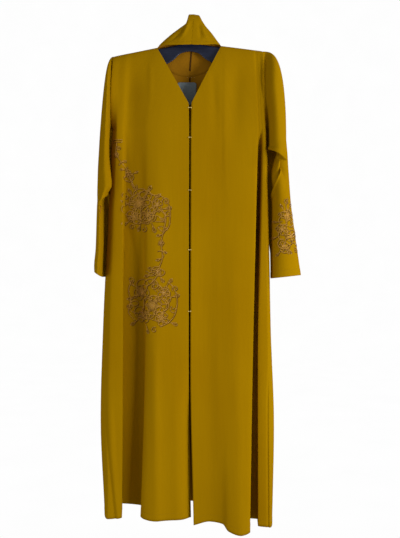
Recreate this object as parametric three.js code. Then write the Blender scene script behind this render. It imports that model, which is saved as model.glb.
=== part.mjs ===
// Hooded open-front abaya on a moulded hanger. Millimetres, +Z up, the front faces -Y.
// The origin is the inner top of the hanger's hook, where a rail carries everything.
// "Right" and "left" are the wearer's: the right side lies at -X and the left side at +X.
import * as THREE from 'three';

// ---------------------------------------------------------------- driving dimensions
const WALL = 1.5;                // cloth wall
const SEAM = 0.32;               // clearance kept at every seam
const OPENING_OFFSET = 13;       // the front opening hangs this far to -X of the hook's bearing point
const UNDERARM_Z = -345;
const V_BOTTOM_Z = -270;         // where the two neckline edges come together
const BACK_NECK_DROP = 84;       // the back neckline dips this far under the neck points
const ARMHOLE_DEPTH = 29;        // how far the armhole opens to the front and to the back
const SHOULDER_ROLL = 0.36;      // power of the roll from the shoulder seam down to the underarm

const HANGER_TILT = THREE.MathUtils.degToRad(1.7);
const HANGER_THICKNESS = 6.6;
const HANGER_ROUNDING = 2.7;
const HANGER_CENTRE_X = -18.75;  // from the bearing point, before the hanger tilts
const HOOK_WIRE = 3.4;
const HOOK_RADIUS = 15;          // of the wire's centre line
const HOOK_SWEEP = THREE.MathUtils.degToRad(212);
const FASTENER_RADIUS = 0.9;
const HOOD_FULLNESS = 0.62;      // how wide the hood's roll over the hook is, against its foot and hem
const HOOD_CROWDING = 1.2;       // power that crowds its rows towards the ridge
const HEAD_DEPTH = 1.6;          // how soon the sleeve head reaches its full depth, as a power
const ROW_CROWDING = 2.2;        // power that crowds a panel's rows towards the shoulder

// Rows of faces: a panel has ARM_ROWS above the underarm and SKIRT_ROWS under it.
const ARM_ROWS = 9;
const SKIRT_ROWS = 11;
const COLUMNS_PER_FOLD = 2;
const SLEEVE_RINGS = 10;
const SLEEVE_HEAD_RINGS = 4;
const HOOD_ROWS = 5;

const LEAST_SLANT = 0.1;         // under this share of a normal, a wall's edge follows the normal itself

const AXIS_X = new THREE.Vector3(1, 0, 0);
const AXIS_Y = new THREE.Vector3(0, 1, 0);
const AXIS_Z = new THREE.Vector3(0, 0, 1);

// ---------------------------------------------------------------- tables
function table(columns, ...rows) {
  return rows.map((row) => Object.fromEntries(columns.map((name, k) => [name, row[k]])));
}

// One entry a side: the neck point, the shoulder point, how far the armhole cuts in towards the chest, how
// soon the sleeve head stands out and how late it turns down, as powers, and the side seam's distance from
// the front opening at five even levels from the underarm to the hem.
const SIDES = {
  right: {
    sign: -1, neckX: -101, neckZ: -95.5, pointX: -232, pointZ: -122,
    scoop: -3, headOut: 1.2, headFall: 1.9, seam: [237, 250, 264, 272, 259],
  },
  left: {
    sign: 1, neckX: 95, neckZ: -90, pointX: 221, pointZ: -106,
    scoop: 8, headOut: 1.8, headFall: 2.6, seam: [233, 239.5, 245, 255, 249],
  },
};
const SEAM_LEVELS = [0, 0.25, 0.5, 0.75, 1];
const FOLD_LEVELS = [0, 0.6, 1];

const FOLD_COLUMNS = ['fold', 'topX', 'underarmX', 'kneeX', 'hemX', 'underarmY', 'kneeY', 'hemY', 'hemZ'];

const RIGHT_FRONT_FOLDS = table(FOLD_COLUMNS,
  ['opening edge', -4, -2.5, -3.5, 3, -34, -47, -44, -1508],
  ['front roll', -24, -22, -20, -15, -34, -49, -58, -1507],
  ['flat front', -86, -76, -70, -68, -35, -51, -62, -1510],
  ['front edge', -101, -112, -129, -151, -35, -53, -62, -1509],
  ['valley near', -128, -144, -146, -158, -30, -16, -8, -1487],
  ['valley far', -176, -182, -189, -203, -27, 4, 26, -1480],
  ['ridge edge', -196, -200, -197, -200, -33, -50, -56, -1502],
  ['side ridge', -212, -216, -226, -234, -31, -46, -58, -1506],
  ['side seam', -232, -236, -263, -262, 0, 0, 0, -1508],
);

const LEFT_FRONT_FOLDS = table(FOLD_COLUMNS,
  ['opening edge', 4, 2.5, 1.5, 11, -34, -47, -56, -1525],
  ['soft valley', 80, 62, 60, 60, -33, -42, -46, -1514],
  ['step foot', 95, 92, 94, 99, -34, -46, -58, -1514],
  ['step', 110, 104, 106, 109, -36, -58, -94, -1531],
  ['ridge', 140, 140, 145, 148, -36, -63, -104, -1540],
  ['ridge edge', 192, 205, 183, 174, -35, -56, -96, -1534],
  ['sharp gap', 199, 213, 196, 191, -22, 20, 30, -1530],
  ['side ridge near', 204, 218.5, 206, 204, -32, -32, -44, -1533],
  ['side ridge', 209, 224, 228, 232, -32, -36, -52, -1535],
  ['side seam', 221, 233, 246, 249, 0, 0, 0, -1540],
);

const BACK_FOLDS = table(FOLD_COLUMNS,
  ['right side seam', -232, -236, -263, -262, 0, 0, 0, -1508],
  ['right side roll', -204, -214, -236, -238, 28, 42, 56, -1506],
  ['ridge', -156, -166, -180, -190, 37, 56, 80, -1500],
  ['valley', -101, -112, -124, -134, 35, 46, 60, -1495],
  ['ridge', -95.5, -74, -80, -88, 38, 58, 84, -1499],
  ['valley', -65, -38, -40, -44, 36, 50, 64, -1496],
  ['centre ridge', -3, -2, 0, 2, 38, 56, 80, -1500],
  ['valley', 59, 36, 40, 46, 36, 48, 62, -1502],
  ['ridge', 89.5, 72, 82, 92, 38, 58, 85, -1508],
  ['valley', 95, 108, 124, 134, 35, 45, 58, -1514],
  ['ridge', 146, 156, 172, 184, 37, 55, 80, -1526],
  ['left side roll', 194, 206, 222, 228, 28, 40, 54, -1536],
  ['left side seam', 221, 233, 246, 249, 0, 0, 0, -1540],
);
const BACK_NECK_FROM = 3;        // fold rows of the back panel at the two neck points
const BACK_NECK_TO = 9;
const BACK_NECK_MIDDLE = 6;

// The sleeves' level rings, from under the armhole to the cuff: outer and inner edge of the ring, how far
// its front edge leans towards the body and its back edge away, how far it reaches to the front and to the
// back, and how much higher its outer edge is.
const SLEEVE_COLUMNS = ['z', 'outerX', 'innerX', 'lean', 'frontY', 'backY', 'rise'];
const RIGHT_SLEEVE = table(SLEEVE_COLUMNS,
  [-385, -276, -242.5, 8, -62, 58, 12],
  [-480, -281, -248, 12, -72, 62, 4],
  [-530, -281.5, -251.5, 15, -74, 62, 0],
  [-585, -283.5, -258.5, 7, -72, 56, 0],
  [-700, -286.5, -261, 6, -70, 52, 0],
  [-755, -291, -263.5, 6, -70, 52, 6],
  [-783, -290, -264.5, 5, -68, 50, 17],
);
const LEFT_SLEEVE = table(SLEEVE_COLUMNS,
  [-385, 292, 238, 3, -58, 56, 14],
  [-425, 296, 239.5, 3, -62, 54, 6],
  [-468, 299.5, 243, 3, -50, 52, 0],
  [-560, 306, 246, 3, -54, 46, 0],
  [-650, 317, 246, 4, -50, 40, 4],
  [-791, 336.5, 246, 5, -42, 36, 10],
);

// The hood, from its centre seam to the neck point: where the ridge over the hook and the front hem run.
const HOOD_COLUMNS = ['ridgeX', 'ridgeZ', 'hemX', 'hemY', 'hemZ'];
const RIGHT_HOOD = table(HOOD_COLUMNS,
  [12, 7, 3, -21, -91],
  [-3, 6.4, -15, -21, -92],
  [-10, -18, -33, -20, -92],
  [-32, -35, -50, -18, -91],
  [-61, -57, -67, -15, -90],
  [-82, -75, -81, -11, -89],
  [-94, -88, -91, -6, -90],
);
const LEFT_HOOD = table(HOOD_COLUMNS,
  [12, 7, 3, -21, -91],
  [26, 4.6, 19, -21, -92],
  [37.5, -15, 35, -20, -92],
  [47, -30, 50, -18, -91],
  [64, -49, 65, -15, -89],
  [79, -69, 79, -11, -87],
  [90, -84, 89, -6, -87],
);

// The neck label, between two fold rows and two levels of the back panel.
const LABEL = {
  from: { s: 5.35, level: 0.15 }, to: { s: 6.36, level: 0.55 },
  rows: 4, columns: 3, thickness: 1, clearance: 0.55,
};

// Fasteners of the front opening, by height.
const FASTENER_HEIGHTS = [-284, -374, -532, -710, -893];

// The hanger's outline, out from its middle: top and bottom edge at each distance.
const HANGER_OUTLINE = table(['out', 'top', 'bottom'],
  [26, -83.8, -111],
  [50, -88.6, -131],
  [72, -92.5, -142],
  [98, -97, -146],
  [150, -104.9, -147],
  [192, -111.4, -145],
  [209, -114.4, -139],
  [216, -120, -129],
);
const HANGER_WAIST_Z = -105;     // its arched underside at the middle
const BOSS_HALF_WIDTH = 8;
const BOSS_TOP_Z = -76;
const BOSS_FOOT_HALF_WIDTH = 14;
const BOSS_FOOT_Z = -81.5;

// ---------------------------------------------------------------- curves through the tables
// Monotone cubic: it passes every row and never overshoots, so each row is a real crest or trough.
function smooth(knots, values, at, flatStart = false, flatEnd = false) {
  const last = knots.length - 1;
  let k = 0;
  while (k < last - 1 && at > knots[k + 1]) k += 1;
  const rise = (i) => (values[i + 1] - values[i]) / (knots[i + 1] - knots[i]);
  const slope = (i) => {
    if (i === 0) return flatStart ? 0 : rise(0);
    if (i === last) return flatEnd ? 0 : rise(last - 1);
    const product = rise(i - 1) * rise(i);
    return product > 0 ? (2 * product) / (rise(i - 1) + rise(i)) : 0;
  };
  const span = knots[k + 1] - knots[k];
  const t = THREE.MathUtils.clamp((at - knots[k]) / span, 0, 1);
  const a = (1 + 2 * t) * (1 - t) ** 2 * values[k] + t * t * (3 - 2 * t) * values[k + 1];
  return a + span * (t * (1 - t) ** 2 * slope(k) + t * t * (t - 1) * slope(k + 1));
}

function alongRows(rows, column, at, flatStart, flatEnd) {
  const values = rows.map((row) => (typeof column === 'string' ? row[column] : column(row)));
  return smooth(rows.map((row, k) => k), values, at, flatStart, flatEnd);
}

const mix = THREE.MathUtils.lerp;

function bezier(a, b, c, t) {
  return a.clone().multiplyScalar((1 - t) ** 2).addScaledVector(b, 2 * t * (1 - t)).addScaledVector(c, t * t);
}

// ---------------------------------------------------------------- cloth walls
// Makes a closed wall from a grid of outer points. The second face lies WALL further in, along the
// surface's own normals. seamAxes(i, j) gives directions that the wall's edge must not lean along.
function clothWall(rows, { closed = false, inward, seamAxes = () => [], thickness = WALL }) {
  const height = rows.length;
  const width = rows[0].length;
  const column = (j) => (closed ? (j + width) % width : THREE.MathUtils.clamp(j, 0, width - 1));
  const line = (i) => THREE.MathUtils.clamp(i, 0, height - 1);
  const normal = (i, j) => {
    const down = rows[line(i + 1)][j].clone().sub(rows[line(i - 1)][j]);
    const across = rows[i][column(j + 1)].clone().sub(rows[i][column(j - 1)]);
    return down.cross(across).normalize();
  };
  const midRow = Math.floor(height / 2);
  const midColumn = closed ? 0 : Math.floor(width / 2);
  const turn = Math.sign(normal(midRow, midColumn).dot(inward));
  const innerRows = rows.map((row, i) => row.map((point, j) => {
    const direct = normal(i, j).multiplyScalar(turn);
    const kept = direct.clone();
    for (const axis of seamAxes(i, j)) kept.addScaledVector(axis, -kept.dot(axis));
    const direction = kept.length() > LEAST_SLANT ? kept.normalize() : direct;
    return point.clone().addScaledVector(direction, thickness);
  }));

  const positions = [...rows.flat(), ...innerRows.flat()].flatMap((p) => p.toArray());
  const inner = height * width;
  const index = [];
  const quad = (a, b, c, d) => index.push(a, b, c, a, c, d);
  const columns = closed ? width : width - 1;
  for (let i = 0; i < height - 1; i += 1) {
    for (let j = 0; j < columns; j += 1) {
      const a = i * width + j;
      const b = i * width + column(j + 1);
      quad(a, b, b + width, a + width);
      quad(inner + a, inner + a + width, inner + b + width, inner + b);
    }
  }
  for (let j = 0; j < columns; j += 1) {
    const next = column(j + 1);
    const end = (height - 1) * width;
    quad(j, inner + j, inner + next, next);
    quad(end + j, end + next, inner + end + next, inner + end + j);
  }
  for (let i = 0; i < height - 1 && !closed; i += 1) {
    const a = i * width;
    const b = a + width - 1;
    quad(a, a + width, inner + a + width, inner + a);
    quad(b, inner + b, inner + b + width, b + width);
  }
  return faceted(positions, turn > 0 ? index : index.reverse());
}

function faceted(positions, index) {
  const geometry = new THREE.BufferGeometry();
  geometry.setAttribute('position', new THREE.Float32BufferAttribute(positions, 3));
  geometry.setIndex(index);
  return geometry;
}

// ---------------------------------------------------------------- fronts and back
function shoulderZ(side, x) {
  const out = THREE.MathUtils.clamp((x - side.neckX) / (side.pointX - side.neckX), 0, 1);
  return mix(side.neckZ, side.pointZ, out);
}

// A point of the armhole, e = 0 at the shoulder point and 1 at the underarm; face is -1 front, +1 back.
function armholePoint(side, face, e) {
  const bow = Math.sin(Math.PI * THREE.MathUtils.clamp(e, 0, 1));
  const x = mix(side.pointX, side.sign * side.seam[0], e) - side.sign * side.scoop * bow;
  const y = face * ARMHOLE_DEPTH * Math.sqrt(Math.max(bow, 0));
  return new THREE.Vector3(x, y, mix(side.pointZ, UNDERARM_Z, e));
}

// The top edge of a front panel: up the neckline to the neck point, then along the shoulder seam.
function frontTop(panel, s) {
  const side = panel.sides[1];
  const x = alongRows(panel.folds, 'topX', s);
  const start = panel.folds[0].topX;
  const up = (x - start) / (side.neckX - start);
  return { x, z: up < 1 ? mix(V_BOTTOM_Z, side.neckZ, up) : shoulderZ(side, x) };
}

// The angle along the back neckline: 0 at its middle, a quarter turn at each neck point.
function neckAngle(x) {
  const half = (SIDES.left.neckX - SIDES.right.neckX) / 2;
  return Math.asin(THREE.MathUtils.clamp((x - SIDES.right.neckX - half) / half, -1, 1));
}

// The top edge of the back panel: along one shoulder, down and up the round neckline, along the other.
function backTop(panel, s) {
  const { right, left } = SIDES;
  const x = alongRows(panel.folds, 'topX', s);
  if (s <= BACK_NECK_FROM || s >= BACK_NECK_TO) return { x, z: shoulderZ(x < 0 ? right : left, x) };
  const level = mix(right.neckZ, left.neckZ, (x - right.neckX) / (left.neckX - right.neckX));
  return { x, z: level - BACK_NECK_DROP * Math.cos(neckAngle(x)) };
}

// A point of a panel's outer face. s counts fold rows across it; level is 0 at its top edge, 1 at the
// underarm and 2 at the hem.
function panelPoint(panel, s, level) {
  const { folds, face } = panel;
  const e = Math.min(level, 1);
  const f = Math.max(level - 1, 0);
  const last = folds.length - 1;
  const sideOf = (k) => (k === last ? panel.sides[1] : k === 0 ? panel.sides[0] : undefined);
  const top = panel.top(panel, s);
  const z = f > 0 ? mix(UNDERARM_Z, alongRows(folds, 'hemZ', s), f) : mix(top.z, UNDERARM_Z, e);
  const xs = folds.map((fold, k) => {
    const side = sideOf(k);
    if (f > 0) {
      if (side) return side.sign * smooth(SEAM_LEVELS, side.seam, f);
      return smooth(FOLD_LEVELS, [fold.underarmX, fold.kneeX, fold.hemX], f);
    }
    if (side) return armholePoint(side, face, e).x - (side.sign * SEAM) / 2;
    return mix(panel.top(panel, k).x, fold.underarmX, e);
  });
  const near = top.x < 0 ? SIDES.right : SIDES.left;
  const reach = shoulderZ(near, top.x);
  const roll = Math.max((reach - z) / (reach - UNDERARM_Z), 0) ** SHOULDER_ROLL;
  const ys = folds.map((fold, k) => {
    const side = sideOf(k);
    if (f > 0) return smooth(FOLD_LEVELS, [fold.underarmY, fold.kneeY, fold.hemY], f);
    if (side) return e > 0 ? armholePoint(side, face, e).y / e ** SHOULDER_ROLL : 0;
    return fold.underarmY;
  });
  const flat = [f > 0 && Boolean(panel.sides[0]), f > 0];
  const x = smooth(folds.map((fold, k) => k), xs, s, ...flat);
  const depth = smooth(folds.map((fold, k) => k), ys, s) * (f > 0 ? 1 : roll);
  return new THREE.Vector3(x, face * Math.max(face * depth, SEAM / 2), z);
}

const RIGHT_FRONT = { folds: RIGHT_FRONT_FOLDS, face: -1, sides: [undefined, SIDES.right], top: frontTop };
const LEFT_FRONT = { folds: LEFT_FRONT_FOLDS, face: -1, sides: [undefined, SIDES.left], top: frontTop };
const BACK = { folds: BACK_FOLDS, face: 1, sides: [SIDES.right, SIDES.left], top: backTop };

// How far down the armhole each row lies: close together at the shoulder, where the cloth rolls over.
function armRowLevel(i) {
  return (i / ARM_ROWS) ** ROW_CROWDING;
}

const ROW_LEVELS = [
  ...Array.from({ length: ARM_ROWS }, (_, i) => armRowLevel(i)),
  ...Array.from({ length: SKIRT_ROWS + 1 }, (_, i) => 1 + i / SKIRT_ROWS),
];

// The direction across the neckline seam, in the plane of the back.
function neckSeamAxis(x) {
  return new THREE.Vector3(-Math.sin(neckAngle(x)), 0, Math.cos(neckAngle(x)));
}

function panelWall(panel) {
  const columns = (panel.folds.length - 1) * COLUMNS_PER_FOLD;
  const rows = ROW_LEVELS.map((level) => Array.from({ length: columns + 1 },
    (_, j) => panelPoint(panel, j / COLUMNS_PER_FOLD, level)));
  const seamAxes = (i, j) => {
    const s = j / COLUMNS_PER_FOLD;
    const axes = [];
    const atSide = j === columns || (j === 0 && panel.sides[0]);
    if (atSide) axes.push(...(i >= ARM_ROWS ? [AXIS_Y, AXIS_Z] : [AXIS_X]));
    if (i === 0) {
      const { x } = rows[0][j];
      const beyondNeck = Math.abs(x) >= Math.abs((x < 0 ? SIDES.right : SIDES.left).neckX) - 1;
      if (beyondNeck) axes.push(AXIS_Y);
      if (panel === BACK && s >= BACK_NECK_FROM && s <= BACK_NECK_TO) axes.push(AXIS_X);
      if (panel === BACK && s > BACK_NECK_FROM && s < BACK_NECK_TO) axes.push(AXIS_Z);
    }
    return axes;
  };
  return clothWall(rows, { inward: AXIS_Y.clone().multiplyScalar(-panel.face), seamAxes });
}

// ---------------------------------------------------------------- sleeves
// A level ring of the sleeve: angle 0 is its outer edge, a quarter turn its front.
function sleeveRing(side, rows, at, angle) {
  const value = (column) => alongRows(rows, column, at);
  const middle = (value('outerX') + value('innerX')) / 2;
  const half = (value('outerX') - value('innerX')) / 2;
  const reach = Math.sin(angle) > 0 ? value('frontY') : -value('backY');
  const x = middle + half * Math.cos(angle) - side.sign * value('lean') * Math.sin(angle);
  return new THREE.Vector3(x, reach * Math.sin(angle), value('z') + (value('rise') * Math.cos(angle)) / 2);
}

function sleeveWall(side, rows) {
  const stations = 2 * ARM_ROWS;
  const angles = Array.from({ length: stations }, (_, k) => (k / stations) * 2 * Math.PI);
  const armhole = angles.map((_, k) => {
    const edge = armholePoint(side, k <= ARM_ROWS ? -1 : 1, armRowLevel(Math.min(k, stations - k)));
    edge.x += (side.sign * SEAM) / 2;
    return edge;
  });
  const firstRing = angles.map((angle) => sleeveRing(side, rows, 0, angle));
  const head = Array.from({ length: SLEEVE_HEAD_RINGS }, (_, m) => angles.map((_, k) => {
    const t = m / SLEEVE_HEAD_RINGS;
    return new THREE.Vector3(
      mix(armhole[k].x, firstRing[k].x, 1 - (1 - t) ** side.headOut),
      mix(armhole[k].y, firstRing[k].y, 1 - (1 - t) ** HEAD_DEPTH),
      mix(armhole[k].z, firstRing[k].z, t ** side.headFall));
  }));
  const tube = Array.from({ length: SLEEVE_RINGS + 1 }, (_, m) => angles.map(
    (angle) => sleeveRing(side, rows, (m / SLEEVE_RINGS) * (rows.length - 1), angle)));
  const underarm = ARM_ROWS;
  return clothWall([...head, ...tube], {
    closed: true,
    inward: new THREE.Vector3(-side.sign, 0, 0),
    seamAxes: (i, k) => (i === 0 && k !== underarm ? [AXIS_X] : []),
  });
}

// ---------------------------------------------------------------- hood
// The fold row of the back panel above which a station of the hood stands.
function hoodSeamAt(rows, sign, station) {
  return BACK_NECK_MIDDLE + (sign * station * (BACK_NECK_TO - BACK_NECK_MIDDLE)) / (rows.length - 1);
}

// The hood's foot on the back neckline. The last station stops short of the neck point, on the straight
// stretch of the seam there, and the clearance grows towards it, where both walls curl over the hanger.
function hoodFoot(rows, sign, station) {
  const last = rows.length - 1;
  const foot = panelPoint(BACK, hoodSeamAt(rows, sign, station), 0);
  if (station === last) foot.lerp(panelPoint(BACK, hoodSeamAt(rows, sign, last - 1), 0), 0.5);
  return foot.addScaledVector(neckSeamAxis(foot.x), mix(SEAM, WALL, (station / last) ** 4));
}

// A half of the hood rises from the back neckline, rolls over the hook and falls to the front hem:
// across is -1 at the neckline, 0 on the ridge and 1 at the hem.
function hoodPoint(rows, sign, station, across) {
  const foot = hoodFoot(rows, sign, station);
  const { ridgeX, ridgeZ, hemX, hemY, hemZ } = rows[station];
  const ridge = new THREE.Vector3(ridgeX, 0, ridgeZ);
  const hem = new THREE.Vector3(hemX, hemY, hemZ);
  if (station === 0) for (const point of [foot, ridge, hem]) point.x += (sign * SEAM) / 2;
  const from = across < 0 ? foot : hem;
  const roll = new THREE.Vector3(ridge.x, from.y * HOOD_FULLNESS, ridge.z);
  return bezier(ridge, roll, from, Math.abs(across));
}

function hoodWall(rows, sign) {
  const acrossLevels = Array.from({ length: 2 * HOOD_ROWS + 1 }, (_, i) => {
    const part = i / HOOD_ROWS - 1;
    return Math.sign(part) * Math.abs(part) ** HOOD_CROWDING;
  });
  const grid = acrossLevels.map((across) => rows.map((_, station) => hoodPoint(rows, sign, station, across)));
  const seamAxes = (i, j) => {
    const axes = [];
    if (j === 0) axes.push(AXIS_X);
    if (i === 0) axes.push(AXIS_X, AXIS_Z);
    return axes;
  };
  return clothWall(grid, { inward: new THREE.Vector3(0, 0, -1), seamAxes });
}

// ---------------------------------------------------------------- neck label and fasteners
// A plain label on the back panel's inner face, made from that panel's own points.
function labelWall() {
  const { from, to, rows, columns, clearance } = LABEL;
  const grid = Array.from({ length: rows + 1 }, (_, i) => Array.from({ length: columns + 1 }, (_, j) => {
    const point = panelPoint(BACK, mix(from.s, to.s, j / columns), mix(from.level, to.level, i / rows));
    point.y -= WALL + clearance;
    return point;
  }));
  return clothWall(grid, { inward: new THREE.Vector3(0, -1, 0), thickness: LABEL.thickness });
}

// A point of a front panel's opening edge at a height.
function openingEdge(panel, z) {
  const top = panel.top(panel, 0).z;
  const hem = panel.folds[0].hemZ;
  const level = z > UNDERARM_Z ? (top - z) / (top - UNDERARM_Z) : 1 + (UNDERARM_Z - z) / (UNDERARM_Z - hem);
  return panelPoint(panel, 0, level);
}

// A thread loop lying across the front opening, between its two edges.
function fastener(z) {
  const right = openingEdge(RIGHT_FRONT, z);
  const left = openingEdge(LEFT_FRONT, z);
  const length = left.x - right.x - 2 * SEAM;
  const geometry = new THREE.CapsuleGeometry(FASTENER_RADIUS, length - 2 * FASTENER_RADIUS, 3, 8);
  geometry.rotateZ(Math.PI / 2);
  geometry.translate((left.x + right.x) / 2, (left.y + right.y) / 2 + WALL / 2, z);
  return geometry;
}

// ---------------------------------------------------------------- hanger
function hangerOutline() {
  const bottom = HANGER_OUTLINE.map((row) => [row.out, row.bottom]);
  const top = HANGER_OUTLINE.map((row) => [row.out, row.top]).reverse();
  const boss = [[BOSS_FOOT_HALF_WIDTH, BOSS_FOOT_Z], [BOSS_HALF_WIDTH, BOSS_TOP_Z]];
  const half = [...bottom, ...top, ...boss];
  const mirrored = half.map(([x, z]) => [-x, z]).reverse();
  const outline = [[0, HANGER_WAIST_Z], ...half, ...mirrored];
  return new THREE.Shape(outline.map(([x, z]) => new THREE.Vector2(x, z)));
}

function hangerBody() {
  const depth = HANGER_THICKNESS - 2 * HANGER_ROUNDING;
  const geometry = new THREE.ExtrudeGeometry(hangerOutline(), {
    depth,
    bevelEnabled: true,
    bevelThickness: HANGER_ROUNDING,
    bevelSize: HANGER_ROUNDING,
    bevelOffset: -HANGER_ROUNDING,
    bevelSegments: 3,
    curveSegments: 6,
  });
  geometry.translate(HANGER_CENTRE_X, 0, -depth / 2);
  geometry.rotateX(Math.PI / 2);
  return geometry;
}

// The hook: a stem out of the boss, a small swing sideways, then an arc over the rail.
class HookCurve extends THREE.Curve {
  getPoint(t, target = new THREE.Vector3()) {
    const centreZ = -(HOOK_RADIUS - HOOK_WIRE / 2);
    const stemFrom = BOSS_TOP_Z + SEAM;
    const stem = centreZ - stemFrom;
        const length = stem + HOOK_RADIUS * HOOK_SWEEP;
    const run = t * length;
    if (run < stem) {
      const swing = THREE.MathUtils.smoothstep(run / stem, 0.35, 1);
      return target.set(mix(HANGER_CENTRE_X, -HOOK_RADIUS, swing), 0, stemFrom + run);
    }
    const angle = Math.PI - (run - stem) / HOOK_RADIUS;
    return target.set(HOOK_RADIUS * Math.cos(angle), 0, centreZ + HOOK_RADIUS * Math.sin(angle));
  }
}

function hangerHook() {
  const section = new THREE.Shape();
  section.absarc(0, 0, HOOK_WIRE / 2, 0, 2 * Math.PI);
  return new THREE.ExtrudeGeometry(section, { steps: 28, curveSegments: 5, extrudePath: new HookCurve() });
}

// ---------------------------------------------------------------- assembly
function named(name, geometry, color, roughness, metalness = 0) {
  const mesh = new THREE.Mesh(geometry, new THREE.MeshStandardMaterial({ color, roughness, metalness }));
  mesh.name = name;
  return mesh;
}

const CREPE = '#9c7608';
const garment = new THREE.Group();
garment.position.x = -OPENING_OFFSET;
garment.add(
  named('front_right_panel', panelWall(RIGHT_FRONT), CREPE, 0.55),
  named('front_left_panel', panelWall(LEFT_FRONT), CREPE, 0.55),
  named('back_panel', panelWall(BACK), CREPE, 0.55),
  named('sleeve_right', sleeveWall(SIDES.right, RIGHT_SLEEVE), CREPE, 0.55),
  named('sleeve_left', sleeveWall(SIDES.left, LEFT_SLEEVE), CREPE, 0.55),
  named('hood_right', hoodWall(RIGHT_HOOD, -1), CREPE, 0.55),
  named('hood_left', hoodWall(LEFT_HOOD, 1), CREPE, 0.55),
  named('neck_label', labelWall(), '#4f585c', 0.7),
);
FASTENER_HEIGHTS.forEach((z, k) => {
  garment.add(named(`front_fastener_${k + 1}`, fastener(z), '#cdb483', 0.5));
});

const hanger = new THREE.Group();
hanger.rotation.y = -HANGER_TILT;
hanger.add(
  named('hanger_body', hangerBody(), '#232a3c', 0.4),
  named('hanger_hook', hangerHook(), '#b9bcc0', 0.25, 1),
);

const abaya = new THREE.Group();
abaya.add(garment, hanger);
export default abaya;
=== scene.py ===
import math

import bpy
import numpy as np
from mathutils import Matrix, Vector, noise
from mathutils.bvhtree import BVHTree


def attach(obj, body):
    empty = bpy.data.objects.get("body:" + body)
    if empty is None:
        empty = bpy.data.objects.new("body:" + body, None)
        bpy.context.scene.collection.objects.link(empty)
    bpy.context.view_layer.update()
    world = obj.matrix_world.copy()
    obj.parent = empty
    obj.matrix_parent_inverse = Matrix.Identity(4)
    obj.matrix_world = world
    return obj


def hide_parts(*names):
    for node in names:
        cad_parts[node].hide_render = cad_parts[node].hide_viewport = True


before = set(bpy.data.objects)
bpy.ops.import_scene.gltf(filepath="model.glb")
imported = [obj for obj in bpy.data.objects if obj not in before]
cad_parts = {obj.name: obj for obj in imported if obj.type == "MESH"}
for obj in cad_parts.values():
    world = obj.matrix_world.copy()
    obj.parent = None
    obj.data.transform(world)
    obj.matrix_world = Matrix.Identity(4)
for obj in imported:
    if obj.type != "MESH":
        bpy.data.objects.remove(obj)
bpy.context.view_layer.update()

MM = 0.001

# ---------------------------------------------------------------- driving dimensions
OPENING_OFFSET = 13        # the front opening hangs this far to -x of the hook
CLOTH = 0.7                # cloth thickness
HEM_CLOTH = 1.6            # and where it is turned and stitched
SEAM = 0.06                # the two cloths at a seam all but touch
UNDERARM_Z = -345
V_BOTTOM_Z = -270
BACK_NECK_DROP = 84        # the back neckline's middle lies this far below the shoulders' neck points
ARMHOLE_DEPTH = 29         # half the armhole's depth from front to back
SHOULDER_ROLL = 0.36       # power of the curve over the shoulder: less is fuller
HEAD_DEPTH = 1.6           # powers of the sleeve head's growth to its depth
HEAD_FALL = 2.6            # and of its fall
HOOD_FULLNESS = 0.62       # how far the hood's sides bulge before they fall
HOOD_RISE = 0.1            # the hood's foot stands this far off the back neckline
HEM_WIDTH = 20             # hem turned up and stitched
HOOD_HEM = 9
FACING_WIDTH = 30          # facing turned in along the opening and neckline
HANGER_TILT = math.radians(1.7)
HANGER_CENTRE_X = -18.75
HANGER_THICKNESS = 6.6
HANGER_TIP = 216           # half the hanger's length
TIP_ROUND = 16             # the length over which its ends round off
HOOK_WIRE = 3.4
HOOK_RADIUS = 15
HOOK_SWEEP = math.radians(212)
BOSS_TOP_Z = -76
ROW_SPREAD = 2.2           # power that packs a grid's rows towards the shoulder
TINY = 1e-9

# ---------------------------------------------------------------- how cloth lies and is sewn
PANEL_WAVES = (90, 1.6)    # size and height of the slow waves in each kind of piece
SLEEVE_WAVES = (60, 1.2)
HOOD_WAVES = (30, 1.2)
LABEL_WAVES = (18, 0.8)
QUIET_SEAM = 14            # folds die out this far from a seam,
QUIET_SHOULDER = 30        # from the shoulder
QUIET_ARMHOLE = 40         # and from a sleeve's head
SEAM_TROUGH = 1.8          # half width of a pressed seam
PUCKER_PITCH = 11          # its stitches draw a pucker this often,
PUCKER_REACH = 7           # this far out
PUCKER_SHARE = 0.3         # and this deep, as a share of the seam's depth
SIDE_SEAM_DEPTH = 0.4
SEAM_DEPTH = 0.25          # of a seam under less strain
TURNING_FADE = 3           # a hem's or facing's extra thickness fades over this width
HEM_RIDGE = 0.45           # height of a turned hem's ridge
GROOVE_DEPTH = 0.55        # of the line of its stitching
GROOVE_WIDTH = 1.3


def table(columns, *rows):
    """Named columns of numbers, written row by row."""
    return {name: np.array([row[k] for row in rows]) for k, name in enumerate(columns)}


def rows_of(columns):
    """A table's rows, each as a dictionary."""
    return [dict(zip(columns, row)) for row in zip(*columns.values())]


# neck and shoulder points, the armhole's scoop, the power of the sleeve head's growth outward, the side seam
SIDES = {
    "right": {"sign": -1, "neckX": -101, "neckZ": -95.5, "pointX": -232, "pointZ": -122,
              "scoop": -3, "headOut": 1, "seam": [237, 250, 264, 272, 259]},
    "left": {"sign": 1, "neckX": 95, "neckZ": -90, "pointX": 221, "pointZ": -106,
             "scoop": 8, "headOut": 1.8, "seam": [233, 239.5, 245, 255, 249]},
}
SEAM_LEVELS = [0, 0.25, 0.5, 0.75, 1]
FOLD_LEVELS = [0, 0.6, 1]

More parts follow.
